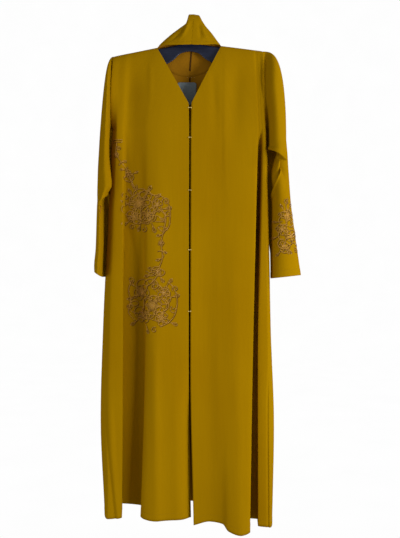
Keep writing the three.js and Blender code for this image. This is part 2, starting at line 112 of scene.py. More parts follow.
FOLD_COLUMNS = ["fold", "topX", "underarmX", "kneeX", "hemX", "underarmY", "kneeY", "hemY", "hemZ"]
RIGHT_FRONT_FOLDS = table(
    FOLD_COLUMNS,
    ["opening edge", -4, -2.5, -3.5, 3, -34, -47, -44, -1508],
    ["front roll", -24, -22, -20, -15, -34, -49, -58, -1507],
    ["flat front", -86, -82, -94, -106, -35, -52, -62, -1511],
    ["front edge", -101, -122, -132, -147, -34, -36, -42, -1503],
    ["valley near", -128, -152, -140, -148, -30, 4, 16, -1487],
    ["valley far", -172, -190, -207, -211, -28, 34, 52, -1480],
    ["ridge edge", -194, -203, -199, -201, -33, -50, -57, -1502],
    ["side ridge", -212, -218, -238, -242, -31, -46, -56, -1507],
    ["side seam", -232, -236, -263, -262, 0, 0, 0, -1508],
)
LEFT_FRONT_FOLDS = table(
    FOLD_COLUMNS,
    ["opening edge", 4, 2.5, 1.5, 11, -34, -47, -56, -1525],
    ["soft valley", 80, 62, 52, 60, -33, -47, -62, -1512],
    ["step foot", 95, 92, 88, 95, -34, -52, -74, -1514],
    ["step", 112, 108, 118, 113, -36, -56, -88, -1531],
    ["ridge", 146, 146, 150, 148, -36, -60, -98, -1540],
    ["ridge edge", 190, 203.5, 185.5, 175, -35, -58, -92, -1532],
    ["gap near", 197, 207.5, 188, 181, -31, 30, 50, -1526],
    ["gap far", 201, 215, 204, 207, -31, 33, 54, -1528],
    ["side ridge near", 204, 218.5, 203, 202.5, -32, -34, -46, -1531],
    ["side ridge", 209, 224, 232, 236, -32, -36, -48, -1535],
    ["side seam", 221, 233, 246, 249, 0, 0, 0, -1540],
)
BACK_FOLDS = table(
    FOLD_COLUMNS,
    ["right side seam", -232, -236, -263, -262, 0, 0, 0, -1508],
    ["right side roll", -204, -214, -236, -238, 28, 42, 56, -1506],
    ["ridge", -156, -166, -180, -190, 37, 56, 80, -1500],
    ["valley", -101, -112, -124, -134, 35, 46, 60, -1495],
    ["ridge", -95.5, -74, -80, -88, 38, 58, 84, -1499],
    ["valley", -65, -38, -40, -44, 36, 50, 64, -1496],
    ["centre ridge", -3, -2, 0, 2, 38, 56, 80, -1500],
    ["valley", 59, 36, 40, 46, 36, 48, 62, -1502],
    ["ridge", 89.5, 72, 82, 92, 38, 58, 85, -1508],
    ["valley", 95, 108, 124, 134, 35, 45, 58, -1514],
    ["ridge", 146, 156, 172, 184, 37, 55, 80, -1526],
    ["left side roll", 194, 206, 222, 228, 28, 40, 54, -1536],
    ["left side seam", 221, 233, 246, 249, 0, 0, 0, -1540],
)
BACK_NECK_FROM = 3         # rows of the back's table where its neckline starts,
BACK_NECK_MIDDLE = 6       # is lowest
BACK_NECK_TO = 9           # and ends

SLEEVE_COLUMNS = ["z", "outerX", "innerX", "lean", "frontY", "backY", "rise"]
RIGHT_SLEEVE = table(
    SLEEVE_COLUMNS,
    [-385, -276, -242.5, 8, -62, 58, 12],
    [-480, -281, -248, 12, -72, 62, 4],
    [-530, -281.5, -251.5, 15, -74, 62, 0],
    [-585, -283.5, -258.5, 7, -72, 56, 0],
    [-700, -286.5, -261, 6, -70, 52, 0],
    [-755, -291, -263.5, 6, -70, 52, 6],
    [-783, -290, -264.5, 5, -68, 50, 17],
)
LEFT_SLEEVE = table(
    SLEEVE_COLUMNS,
    [-385, 292, 238, 3, -58, 56, 14],
    [-425, 296, 239.5, 3, -62, 54, 6],
    [-468, 299.5, 243, 3, -50, 52, 0],
    [-560, 306, 246, 3, -54, 46, 0],
    [-650, 317, 246, 4, -50, 40, 4],
    [-791, 336.5, 246, 5, -42, 36, 10],
)

HOOD_COLUMNS = ["ridgeX", "ridgeZ", "hemX", "hemY", "hemZ"]
RIGHT_HOOD = table(
    HOOD_COLUMNS,
    [12, 7, 3, -21, -91],
    [-3, 6.4, -15, -21, -92],
    [-10, -18, -33, -20, -92],
    [-32, -35, -50, -18, -91],
    [-61, -57, -67, -15, -90],
    [-82, -75, -81, -11, -89],
    [-94, -88, -91, -6, -90],
)
LEFT_HOOD = table(
    HOOD_COLUMNS,
    [12, 7, 3, -21, -91],
    [26, 4.6, 19, -21, -92],
    [37.5, -15, 35, -20, -92],
    [47, -30, 50, -18, -91],
    [64, -49, 65, -15, -89],
    [79, -69, 79, -11, -87],
    [90, -84, 89, -6, -87],
)
LABEL_FROM_X = -41
LABEL_TO_X = 19
LABEL_TOP_Z = -193
LABEL_FOOT_Z = -262
LABEL_ROUND = 7             # radius of its top corners
LABEL_OFF = 2.0             # inside the back panel's outer face
LABEL_CLOTH = 0.5
FASTENER_HEIGHTS = [-284, -374, -532, -710, -893]
HANGER_OUTLINE = table(
    ["out", "top", "bottom"],
    [0, -76, -105],
    [8, -76.5, -106],
    [14, -81.5, -107.5],
    [26, -83.8, -111],
    [50, -88.6, -131],
    [72, -92.5, -142],
    [98, -97, -146],
    [150, -104.9, -147],
    [192, -111.4, -145],
    [209, -114.4, -139],
    [216, -120, -129],
)

# Creases laid over the main folds. A crease runs down from one point to another; a minus depth
# is a trough. start and end are the shares of its length over which it fades in and out.
HEM_CREASES_Z = -1400       # a crease that ends below this runs out through the hem
CREASE_COLUMNS = ["fromX", "fromZ", "toX", "toZ", "bow", "width", "depth", "start", "end"]
RIGHT_FRONT_CREASES = table(
    CREASE_COLUMNS,
    [-182, -120, -180, -640, 0, 32, -13.0, 0.25, 0.6],
    [-122, -118, -120, -300, 2, 8, 1.2, 0.3, 0.6],
    [-62, -330, -56, -1180, 3, 30, -2.0, 0.4, 0.5],
    [-110, -900, -96, -1505, 3, 14, 3.0, 0.5, 0.1],
    [-40, -1000, -34, -1505, -3, 16, 2.4, 0.5, 0.1],
    [-256, -1080, -221, -1506, -5, 3.2, -3.4, 0.3, 0.1],
    [-3, -1040, -2, -1506, 0, 13, -8.0, 0.5, 0.1],
    [-236, -1120, -212, -1506, -5, 7, 2.4, 0.4, 0.1],
)
LEFT_FRONT_CREASES = table(
    CREASE_COLUMNS,
    [66, -150, 78, -400, 2, 12, -2.0, 0.3, 0.6],
    [140, -120, 134, -460, -2, 26, -5.0, 0.3, 0.6],
    [34, -480, 40, -1400, 3, 26, -1.8, 0.4, 0.5],
    [124, -600, 132, -1300, -3, 24, 2.0, 0.4, 0.4],
    [211.5, -345, 196.5, -960, 0, 5.2, -22.0, 0.12, 0.6],
    [234, -1040, 233, -1480, -1, 2.2, -3.6, 0.3, 0.3],
)
BACK_CREASES = table(
    CREASE_COLUMNS,
    [-188, -150, -196, -520, 4, 12, -3.4, 0.4, 0.6],
    [-140, -140, -146, -600, -3, 13, 3.0, 0.3, 0.6],
    [-84, -190, -60, -520, 3, 14, -3.2, 0.4, 0.6],
    [-30, -220, -22, -640, 2, 12, 2.4, 0.4, 0.6],
    [28, -220, 20, -600, 3, 12, -3.0, 0.4, 0.6],
    [92, -160, 84, -560, -3, 14, 2.8, 0.4, 0.6],
    [150, -140, 160, -540, 3, 12, -3.2, 0.3, 0.6],
    [-206, -640, -212, -1480, 3, 10, 4.0, 0.4, 0.2],
    [-60, -820, -64, -1490, 3, 12, 3.0, 0.5, 0.1],
    [20, -700, 26, -1490, 2, 12, -3.4, 0.4, 0.1],
    [200, -660, 208, -1520, -3, 10, -4.0, 0.4, 0.1],
)


# ---------------------------------------------------------------- curves through the tables
def smooth(knots, values, at, flat_start=False, flat_end=False):
    """Monotone cubic: it passes every row and never overshoots."""
    knots, values, at = (np.asarray(v, float) for v in (knots, values, at))
    rise = np.diff(values) / np.diff(knots)
    slope = np.zeros(len(values))
    slope[0] = 0 if flat_start else rise[0]
    slope[-1] = 0 if flat_end else rise[-1]
    product = rise[:-1] * rise[1:]
    total = np.where(product > 0, rise[:-1] + rise[1:], 1)
    slope[1:-1] = np.where(product > 0, 2 * product / total, 0)
    k = np.clip(np.searchsorted(knots, at) - 1, 0, len(knots) - 2)
    span = knots[k + 1] - knots[k]
    t = np.clip((at - knots[k]) / span, 0, 1)
    value = (1 + 2 * t) * (1 - t) ** 2 * values[k] + t * t * (3 - 2 * t) * values[k + 1]
    return value + span * (t * (1 - t) ** 2 * slope[k] + t * t * (t - 1) * slope[k + 1])


def along_rows(rows, column, at):
    return smooth(np.arange(len(rows[column])), rows[column], at)


def mix(a, b, t):
    return a + (b - a) * t


def ease(t):
    t = np.clip(t, 0, 1)
    return t * t * (3 - 2 * t)


def bezier(a, b, c, t):
    return a * (1 - t) ** 2 + b * 2 * t * (1 - t) + c * t * t


# ---------------------------------------------------------------- the garment's surfaces
def shoulder_z(side, x):
    out = np.clip((x - side["neckX"]) / (side["pointX"] - side["neckX"]), 0, 1)
    return mix(side["neckZ"], side["pointZ"], out)


def armhole_point(side, face, e):
    """A place on the armhole's seam: e is 0 at the shoulder point and 1 at the underarm."""
    bow = max(math.sin(math.pi * min(max(e, 0), 1)), 0)
    x = mix(side["pointX"], side["sign"] * side["seam"][0], e) - side["sign"] * side["scoop"] * bow
    return np.array([x, face * ARMHOLE_DEPTH * math.sqrt(bow), mix(side["pointZ"], UNDERARM_Z, e)])


def front_top(panel, s):
    side = panel["sides"][1]
    x = along_rows(panel["folds"], "topX", s)
    start = panel["folds"]["topX"][0]
    up = (x - start) / (side["neckX"] - start)
    return x, np.where(up < 1, mix(V_BOTTOM_Z, side["neckZ"], up), shoulder_z(side, x))


def neck_angle(x):
    right, left = SIDES["right"]["neckX"], SIDES["left"]["neckX"]
    half = (left - right) / 2
    return np.arcsin(np.clip((x - right - half) / half, -1, 1))


def back_top(panel, s):
    right, left = SIDES["right"], SIDES["left"]
    x = along_rows(panel["folds"], "topX", s)
    level = mix(right["neckZ"], left["neckZ"], (x - right["neckX"]) / (left["neckX"] - right["neckX"]))
    neck = level - BACK_NECK_DROP * np.cos(neck_angle(x))
    shoulder = np.where(x < 0, shoulder_z(right, x), shoulder_z(left, x))
    return x, np.where((s <= BACK_NECK_FROM) | (s >= BACK_NECK_TO), shoulder, neck)


def panel_row(panel, s, level):
    """Points of a panel's outer face at one level: 0 its top edge, 1 the underarm, 2 the hem."""
    folds, face = panel["folds"], panel["face"]
    s = np.asarray(s, float)
    rows = np.arange(len(folds["topX"]))
    last = len(rows) - 1
    e, f = min(level, 1), max(level - 1, 0)
    top_x, top_z = panel["top"](panel, s)
    sides = {k: side for k, side in ((0, panel["sides"][0]), (last, panel["sides"][1])) if side}
    reach = np.where(top_x < 0, shoulder_z(SIDES["right"], top_x), shoulder_z(SIDES["left"], top_x))
    if f > 0:
        z = mix(UNDERARM_Z, smooth(rows, folds["hemZ"], s), f)
        xs = [smooth(FOLD_LEVELS, [folds[c][k] for c in ("underarmX", "kneeX", "hemX")], f) for k in rows]
        ys = [smooth(FOLD_LEVELS, [folds[c][k] for c in ("underarmY", "kneeY", "hemY")], f) for k in rows]
        for k, side in sides.items():
            xs[k] = side["sign"] * smooth(SEAM_LEVELS, side["seam"], f)
        roll = 1
    else:
        z = mix(top_z, UNDERARM_Z, e)
        xs = list(mix(panel["top"](panel, rows)[0], folds["underarmX"], e))
        ys = list(folds["underarmY"].astype(float))
        roll = np.maximum((reach - z) / (reach - UNDERARM_Z), 0) ** SHOULDER_ROLL
        for k, side in sides.items():
            edge = armhole_point(side, face, e)
            xs[k] = edge[0] - side["sign"] * SEAM / 2
            ys[k] = edge[1] / e ** SHOULDER_ROLL if e > 0 else 0
    x = smooth(rows, xs, s, f > 0 and 0 in sides, f > 0)
    depth = smooth(rows, ys, s) * roll
    return np.stack([x, face * np.maximum(face * depth, SEAM / 2), z], axis=1)


RIGHT_FRONT = {"folds": RIGHT_FRONT_FOLDS, "face": -1, "sides": [None, SIDES["right"]], "top": front_top}
LEFT_FRONT = {"folds": LEFT_FRONT_FOLDS, "face": -1, "sides": [None, SIDES["left"]], "top": front_top}
BACK = {"folds": BACK_FOLDS, "face": 1, "sides": [SIDES["right"], SIDES["left"]], "top": back_top}


def panel_grid(panel, columns_per_fold, arm_rows, skirt_rows):
    last = len(panel["folds"]["topX"]) - 1
    s = np.linspace(0, last, last * columns_per_fold + 1)
    upper = np.linspace(0, 1, arm_rows, endpoint=False) ** ROW_SPREAD
    levels = [*upper, *np.linspace(1, 2, skirt_rows + 1)]
    return np.array([panel_row(panel, s, level) for level in levels])


def sleeve_ring(side, rows, at, angles):
    value = {column: along_rows(rows, column, at) for column in SLEEVE_COLUMNS}
    middle, half = (value["outerX"] + value["innerX"]) / 2, (value["outerX"] - value["innerX"]) / 2
    reach = np.where(np.sin(angles) > 0, value["frontY"], -value["backY"])
    x = middle + half * np.cos(angles) - side["sign"] * value["lean"] * np.sin(angles)
    z = value["z"] + value["rise"] * np.cos(angles) / 2
    return np.stack([x, reach * np.sin(angles), z], axis=1)


def sleeve_grid(side, rows, stations, head_rings, rings):
    """Rings of a sleeve: first round the armhole, last at the cuff. The first column is the outer edge."""
    turn = np.arange(2 * stations) / (2 * stations)
    angles = turn * 2 * np.pi
    e = (np.minimum(turn, 1 - turn) * 2) ** ROW_SPREAD
    armhole = np.array([armhole_point(side, -1 if t <= 0.5 else 1, level) for t, level in zip(turn, e)])
    armhole[:, 0] += side["sign"] * SEAM / 2
    first = sleeve_ring(side, rows, 0, angles)
    head = []
    for t in np.arange(head_rings) / head_rings:
        share = np.array([1 - (1 - t) ** side["headOut"], 1 - (1 - t) ** HEAD_DEPTH, t ** HEAD_FALL])
        head.append(mix(armhole, first, share))
    last = len(rows["z"]) - 1
    tube = [sleeve_ring(side, rows, m / rings * last, angles) for m in range(rings + 1)]
    return np.array(head + tube)


def hood_grid(rows, sign, stations, steps):
    """Rows from the back neckline over the hook to the front hem; the first column is the centre seam."""
    last = len(rows["ridgeX"]) - 1
    at = np.linspace(0, last, stations + 1)
    seam_at = BACK_NECK_MIDDLE + sign * at * (BACK_NECK_TO - BACK_NECK_MIDDLE) / last
    foot = panel_row(BACK, seam_at, 0)
    angle = neck_angle(foot[:, 0])
    foot += np.stack([-np.sin(angle), 0 * angle, np.cos(angle)], axis=1) * HOOD_RISE
    zero = np.zeros(len(at))
    column = {name: along_rows(rows, name, at) for name in HOOD_COLUMNS}
    ridge = np.stack([column["ridgeX"], zero, column["ridgeZ"]], axis=1)
    hem = np.stack([column["hemX"], column["hemY"], column["hemZ"]], axis=1)
    grid = []
    for part in np.linspace(-1, 1, 2 * steps + 1):
        across = abs(part) ** 1.2
        start = foot if part < 0 else hem
        roll = np.stack([ridge[:, 0], start[:, 1] * HOOD_FULLNESS, ridge[:, 2]], axis=1)
        grid.append(bezier(ridge, roll, start, across))
    return np.array(grid)


# ---------------------------------------------------------------- shells of cloth
def lengths(grid, axis):
    """Distance run along the grid's rows or columns, from their first point."""
    steps = np.linalg.norm(np.diff(grid, axis=axis), axis=2)
    start = np.zeros_like(np.take(steps, [0], axis=axis))
    return np.cumsum(np.concatenate([start, steps], axis=axis), axis=axis)


def run_of(points):
    """Distance run along a line of points."""
    return np.concatenate([[0], np.cumsum(np.linalg.norm(np.diff(points, axis=0), axis=1))])


def quads(rows, columns, closed=True):
    """Faces between the rings of a tube, or between the rows of an open grid."""
    faces = []
    for i in range(rows - 1):
        for k in range(columns if closed else columns - 1):
            n = (k + 1) % columns
            faces.append((i * columns + k, i * columns + n, (i + 1) * columns + n, (i + 1) * columns + k))
    return faces


def normals_of(grid, outward, closed=False):
    """Unit normals of a grid, on the side that faces outward at its middle."""
    down = np.gradient(grid, axis=0)
    if closed:
        across = np.roll(grid, -1, axis=1) - np.roll(grid, 1, axis=1)
    else:
        across = np.gradient(grid, axis=1)
    normal = np.cross(down, across)
    normal /= np.maximum(np.linalg.norm(normal, axis=2, keepdims=True), TINY)
    middle = normal[normal.shape[0] // 2, 0 if closed else normal.shape[1] // 2]
    return normal * np.sign(middle @ np.array(outward))


def crease_field(z, creases, kind, away):
    """The depth of all creases at heights z. Each runs from one X or Turn to another; away() gives
    the distance from it."""
    total = np.zeros_like(z)
    for row in rows_of(creases):
        t = (row["fromZ"] - z) / (row["fromZ"] - row["toZ"])
        inside = np.clip(t, 0, 1)
        line = mix(row["from" + kind], row["to" + kind], inside) + row["bow"] * np.sin(np.pi * inside)
        to_hem = 1 if row["toZ"] < HEM_CREASES_Z else 0
        fade = ease(t / row["start"]) * ease((1 - t) / row["end"] + to_hem)
        total += row["depth"] * fade * np.exp(-(away(line) / row["width"]) ** 2)
    return total


def waviness(grid, size, height, seed):
    """Slow waves of hanging cloth, long in the height and short across it."""
    shape = grid.shape[:2]
    flat = grid.reshape(-1, 3)
    values = [noise.noise(Vector((p[0] / size + seed, p[1] / size, p[2] / (size * 6)))) for p in flat]
    return height * np.array(values).reshape(shape)


def pinch(distance, along, depth=SIDE_SEAM_DEPTH):
    """A pressed seam: a narrow trough with the small puckers that its stitches draw."""
    pucker = 0.5 + 0.5 * np.sin(along * 2 * np.pi / PUCKER_PITCH + 1.7 * np.sin(along / 23))
    trough = -depth * np.exp(-(distance / SEAM_TROUGH) ** 2)
    return trough - PUCKER_SHARE * depth * pucker * np.exp(-(distance / PUCKER_REACH) ** 2)


def hem_relief(distance, width):
    """The ridge of a turned hem and the groove of its stitching."""
    ridge = HEM_RIDGE * (1 - ease((distance - width) / TURNING_FADE))
    return ridge - GROOVE_DEPTH * np.exp(-((distance - width) / GROOVE_WIDTH) ** 2)


def place(points):
    """Garment millimetres as frame metres."""
    return (np.asarray(points) + [-OPENING_OFFSET, 0, 0]) * MM


def link(obj):
    bpy.context.scene.collection.objects.link(obj)
    return obj


def settle(obj, stands_for=None):
    """Every piece rides the one body; a piece may stand for a solid of the same form."""
    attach(obj, "root")
    if stands_for:
        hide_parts(stands_for)
    return obj


def make_mesh(name, vertices, faces, materials, corner_uv=None, face_material=None):
    mesh = bpy.data.meshes.new(name)
    mesh.from_pydata([tuple(v) for v in vertices], [], [tuple(f) for f in faces])
    for material in materials:
        mesh.materials.append(material)
    if corner_uv is not None:
        layer = mesh.uv_layers.new(name="UVMap")
        layer.data.foreach_set("uv", np.asarray(corner_uv, np.float32).ravel())
    if face_material is not None:
        mesh.polygons.foreach_set("material_index", np.asarray(face_material, np.int32))
    mesh.polygons.foreach_set("use_smooth", [True] * len(mesh.polygons))
    mesh.update()
    mesh.validate()
    return link(bpy.data.objects.new(name, mesh))


def cloth_shell(name, grid, normals, thickness, materials, closed=False):
    """A thin closed shell: the outer grid, an inner grid thickness behind it, and the rims."""
    height, width = grid.shape[:2]
    inner = grid - normals * np.broadcast_to(thickness, (height, width))[..., None]
    vertices = place(np.concatenate([grid.reshape(-1, 3), inner.reshape(-1, 3)]))
    count = height * width
    index = np.arange(count).reshape(height, width)
    u, v = lengths(grid, 1), lengths(grid, 0)
    if closed:
        last_step = np.linalg.norm(grid[:, 0] - grid[:, -1], axis=1)
        index = np.concatenate([index, index[:, :1]], axis=1)
        u = np.concatenate([u, (u[:, -1] + last_step)[:, None]], axis=1)
        v = np.concatenate([v, v[:, :1]], axis=1)
    uv = np.stack([u, v], axis=2) * MM

    def corners(values):
        """The values at the four corners of each face of the grid."""
        four = np.stack([values[:-1, :-1], values[:-1, 1:], values[1:, 1:], values[1:, :-1]], axis=2)
        return four.reshape(-1, *four.shape[2:])

    backward = [0, 3, 2, 1]
    outer, outer_uv = corners(index), corners(uv)
    faces = [outer, outer[:, backward] + count]
    face_uv = [outer_uv, outer_uv[:, backward]]
    rims = [(index[0], uv[0]), (index[-1, ::-1], uv[-1, ::-1])]
    if not closed:
        rims += [(index[::-1, 0], uv[::-1, 0]), (index[:, -1], uv[:, -1])]
    for line, line_uv in rims:
        near, far = line[:-1], line[1:]
        faces.append(np.stack([near, near + count, far + count, far], axis=1))
        face_uv.append(np.stack([line_uv[:-1], line_uv[:-1], line_uv[1:], line_uv[1:]], axis=1))
    faces, face_uv = np.concatenate(faces), np.concatenate(face_uv)
    kind = np.zeros(len(faces))
    kind[len(outer):2 * len(outer)] = 1
    if np.cross(grid[1, 0] - grid[0, 0], grid[0, 1] - grid[0, 0]) @ normals[0, 0] > 0:
        faces, face_uv = faces[:, ::-1], face_uv[:, ::-1]
    return make_mesh(name, vertices, faces, materials, face_uv, kind)


def sew(name, grid, normals, relief, outward, thickness, closed=False):
    """Raises the relief on a grid and makes the piece's shell over it."""
    grid = grid + normals * relief[..., None]
    normals = normals_of(grid, outward, closed)
    obj = cloth_shell(name + "_cloth", grid, normals, thickness, (CREPE, CREPE_INSIDE), closed)
    return settle(obj, name), grid, normals


class Bundle:
    """Many small closed bodies gathered into one mesh."""

    def __init__(self):
        self.vertices, self.faces, self.uv = [], [], []

    def add(self, vertices, faces, uv):
        start = len(self.vertices)
        self.vertices.extend(vertices)
        self.faces.extend([tuple(index + start for index in face) for face in faces])
        self.uv.extend(uv)

    def tube(self, points, normals, radius, sides=8, flat=1.0):
        """A cord through points; flat squeezes its section along the normals."""
        points, normals = np.asarray(points, float), np.asarray(normals, float)
        count = len(points)
        tangent = np.gradient(points, axis=0)
        tangent /= np.maximum(np.linalg.norm(tangent, axis=1, keepdims=True), TINY)
        side = np.cross(tangent, normals)
        side /= np.maximum(np.linalg.norm(side, axis=1, keepdims=True), TINY)
        up = np.cross(side, tangent)
        radii = np.broadcast_to(radius, (count,))[:, None]
        turn = np.arange(sides) / sides * 2 * np.pi
        vertices = [points + radii * (side * math.cos(t) + up * math.sin(t) * flat) for t in turn]
        vertices = np.stack(vertices, axis=1).reshape(-1, 3)
        faces = quads(count, sides)
        run = run_of(points)
        uv = []
        for near, far in zip(run[:-1], run[1:]):
            for k in range(sides):
                left, right = k / sides, (k + 1) / sides
                uv += [(left, near), (right, near), (right, far), (left, far)]
        for end, order in ((0, range(sides - 1, -1, -1)), (count - 1, range(sides))):
            faces.append(tuple(end * sides + k for k in order))
            uv += [(k / sides, run[end]) for k in range(sides)]
        self.add(list(vertices), faces, uv)

    def bead(self, centre, normal, radius, flat=0.8, rings=5, sides=8):
        """A ball, squeezed along its normal."""
        centre, up = np.asarray(centre, float), np.asarray(normal, float)
        side = np.cross(up, [0, 0, 1.0])
        side /= max(np.linalg.norm(side), TINY)
        other = np.cross(up, side)
        vertices = [centre + up * radius * flat]
        for r in range(1, rings):
            polar = math.pi * r / rings
            for k in range(sides):
                turn = 2 * math.pi * k / sides
                level = side * math.cos(turn) + other * math.sin(turn)
                vertices.append(centre + radius * (math.sin(polar) * level + math.cos(polar) * flat * up))
        vertices.append(centre - up * radius * flat)
        last = len(vertices) - 1
        faces, uv = [], []
        for k in range(sides):
            n = (k + 1) % sides
            faces.append((0, 1 + k, 1 + n))
            for r in range(rings - 2):
                a = 1 + r * sides
                faces.append((a + k, a + sides + k, a + sides + n, a + n))
            a = 1 + (rings - 2) * sides
            faces.append((a + k, last, a + n))
        for face in faces:
            uv += [(0.5, 0.5)] * len(face)
        self.add(vertices, faces, uv)

    def build(self, name, material, move=place):
        vertices, uv = move(np.array(self.vertices)), np.array(self.uv) * MM
        return make_mesh(name, vertices, self.faces, [material], uv)


EYE_Y = -500                # rays start here, in front of all cloth


class Surface:
    """Finds places on a shell's outer face as they are seen from the front."""

    def __init__(self, grid):
        faces = quads(*grid.shape[:2], closed=False)
        self.tree = BVHTree.FromPolygons([tuple(p) for p in grid.reshape(-1, 3)], faces)

    def seen(self, x, z, lift=0.0):
        """The place at x, z seen from the front, lifted off the cloth, and the cloth's normal there."""
        hit, normal, _, _ = self.tree.ray_cast(Vector((x, EYE_Y, z)), Vector((0, 1, 0)))
        if hit is None:
            return None
        if normal.y > 0:
            normal = -normal
        return np.array(hit + normal * lift), np.array(normal)


def hem_line(grid, normals, from_edge):
    """The line that runs from_edge millimetres above a grid's last row, and its normals."""
    points, facing = grid[::-1], normals[::-1]
    run = lengths(points, 0)
    line, turned = [], []
    for j in range(points.shape[1]):
        at = np.interp(from_edge, run[:, j], np.arange(points.shape[0]))
        i = min(int(at), points.shape[0] - 2)
        line.append(mix(points[i, j], points[i + 1, j], at - i))
        turned.append(mix(facing[i, j], facing[i + 1, j], at - i))
    return np.array(line), np.array(turned)


STITCH_ALONG = np.array([-0.5, -0.38, 0.0, 0.38, 0.5])
STITCH_LIFT = np.array([-0.3, 0.05, 0.16, 0.05, -0.3])[:, None]
STITCH_SWELL = np.array([0.55, 0.95, 1, 0.95, 0.55])


def stitches(bundle, line, normals, pitch=3.4, length=2.3, radius=0.27):
    """A row of short thread stitches along a line on the cloth."""
    run = run_of(line)
    for start in np.arange(pitch / 2, run[-1] - pitch / 2, pitch):
        at = start + length * STITCH_ALONG
        points = np.stack([np.interp(at, run, line[:, k]) for k in range(3)], axis=1)
        facing = np.stack([np.interp(at, run, normals[:, k]) for k in range(3)], axis=1)
        bundle.tube(points + facing * STITCH_LIFT, facing, radius * STITCH_SWELL, sides=6)


# ---------------------------------------------------------------- materials
class Material:
    """A node material, built by short calls."""

    def __init__(self, name):
        self.material = bpy.data.materials.new(name)
        self.material.use_nodes = True
        self.tree = self.material.node_tree
        self.shader = self.tree.nodes["Principled BSDF"]

    def feed(self, socket, value):
        if isinstance(value, bpy.types.NodeSocket):
            self.tree.links.new(value, socket)
        else:
            socket.default_value = value

    def node(self, kind, inputs=(), **settings):
        node = self.tree.nodes.new(kind)
        for name, value in settings.items():
            setattr(node, name, value)
        for name, value in dict(inputs).items():
            self.feed(node.inputs[name], value)
        return node

    def where(self, space, scale):
        source = self.node("ShaderNodeTexCoord").outputs[space]
        return self.node("ShaderNodeMapping", {"Vector": source, "Scale": scale}).outputs["Vector"]

    def noise(self, vector, scale, detail=2.0, roughness=0.5):
        inputs = {"Vector": vector, "Scale": scale, "Detail": detail, "Roughness": roughness}
        return self.node("ShaderNodeTexNoise", inputs).outputs["Fac"]

    def bands(self, vector, scale, direction, distortion=0.0):
        inputs = {"Vector": vector, "Scale": scale, "Distortion": distortion, "Detail": 1.0}
        return self.node("ShaderNodeTexWave", inputs, bands_direction=direction).outputs["Fac"]

    def ramp(self, value, low, high, to_low=0.0, to_high=1.0):
        inputs = {"Value": value, "From Min": low, "From Max": high, "To Min": to_low, "To Max": to_high}
        return self.node("ShaderNodeMapRange", inputs).outputs["Result"]

    def math(self, operation, a, b):
        return self.node("ShaderNodeMath", {0: a, 1: b}, operation=operation).outputs[0]

    def blend(self, share, a, b, mode="MIX"):
        node = self.node("ShaderNodeMix", data_type="RGBA", blend_type=mode)
        for name, value in (("Factor", share), ("A", a), ("B", b)):
            self.feed([s for s in node.inputs if s.name == name and s.enabled][0], value)
        return [s for s in node.outputs if s.enabled][0]

    def bump(self, height, strength, distance):
        inputs = {"Height": height, "Strength": strength, "Distance": distance}
        return self.node("ShaderNodeBump", inputs).outputs["Normal"]

    def set(self, **values):
        names = {"color": "Base Color", "roughness": "Roughness",
                 "metallic": "Metallic", "normal": "Normal",
                 "specular": "Specular IOR Level",
                 "sheen": "Sheen Weight", "sheen_rough": "Sheen Roughness",
                 "coat": "Coat Weight", "coat_rough": "Coat Roughness"}
        for key, value in values.items():
            self.feed(self.shader.inputs[names[key]], value)
        return self.material


def colour(red, green, blue):
    """A display colour, 0 to 255, as linear light."""
    def linear(value):
        value /= 255
        return value / 12.92 if value <= 0.04045 else ((value + 0.055) / 1.055) ** 2.4
    return (linear(red), linear(green), linear(blue), 1.0)


def crepe(name, light, dark, rough):
    """Smooth matt crepe: fine threads, a pebbled grain and faint lengthwise slubs."""
    made = Material(name)
    cloth = made.where("UV", (1, 1, 1))
    warp = made.bands(cloth, 560, "X", 1.5)
    weft = made.bands(cloth, 470, "Y", 1.5)
    weave = made.math("MULTIPLY", warp, weft)
    grain = made.noise(cloth, 1500, 3)
    slubs = made.noise(made.where("UV", (1, 0.05, 1)), 160, 3, 0.6)
    patches = made.noise(made.where("Object", (1, 1, 0.5)), 4.5, 3, 0.5)
    tone = made.blend(made.ramp(patches, 0.3, 0.7), dark, light)
    shade = made.ramp(slubs, 0.3, 0.7, 0.975, 1.02)
    shade = made.math("MULTIPLY", shade, made.ramp(weave, 0.0, 1.0, 0.96, 1.02))
    grey = made.node("ShaderNodeCombineColor", dict.fromkeys(("Red", "Green", "Blue"), shade))
    height = made.math("ADD", made.math("MULTIPLY", weave, 0.6), grain)
    return made.set(
        color=made.blend(1.0, tone, grey.outputs["Color"], "MULTIPLY"),
        roughness=made.ramp(slubs, 0.25, 0.75, rough - 0.04, rough + 0.05),
        normal=made.bump(height, 0.2, 0.00025),
        specular=0.0)


def thread_material(name, light, dark, twist, rough=0.6):
    """Twisted thread: slanted plies run round it."""
    made = Material(name)
    along = made.where("UV", (0.0016, 1, 1))
    plies = made.bands(along, twist, "DIAGONAL", 0.4)
    fuzz = made.noise(made.where("Object", (1, 1, 1)), 1800, 2)
    tone = made.blend(made.ramp(plies, 0.1, 0.9), dark, light)
    height = made.math("ADD", plies, made.math("MULTIPLY", fuzz, 0.5))
    return made.set(color=tone, roughness=made.ramp(fuzz, 0.2, 0.8, rough - 0.08, rough + 0.1),
                    normal=made.bump(height, 0.6, 0.0004), specular=0.12)


def bead_material():
    made = Material("glass_bead")
    mottle = made.noise(made.where("Object", (1, 1, 1)), 420, 2)
    tone = made.blend(made.ramp(mottle, 0.35, 0.65), colour(170, 122, 76), colour(220, 176, 132))
    return made.set(color=tone, roughness=made.ramp(mottle, 0.3, 0.7, 0.16, 0.3), specular=0.7, coat=0.4,
                    coat_rough=0.1)


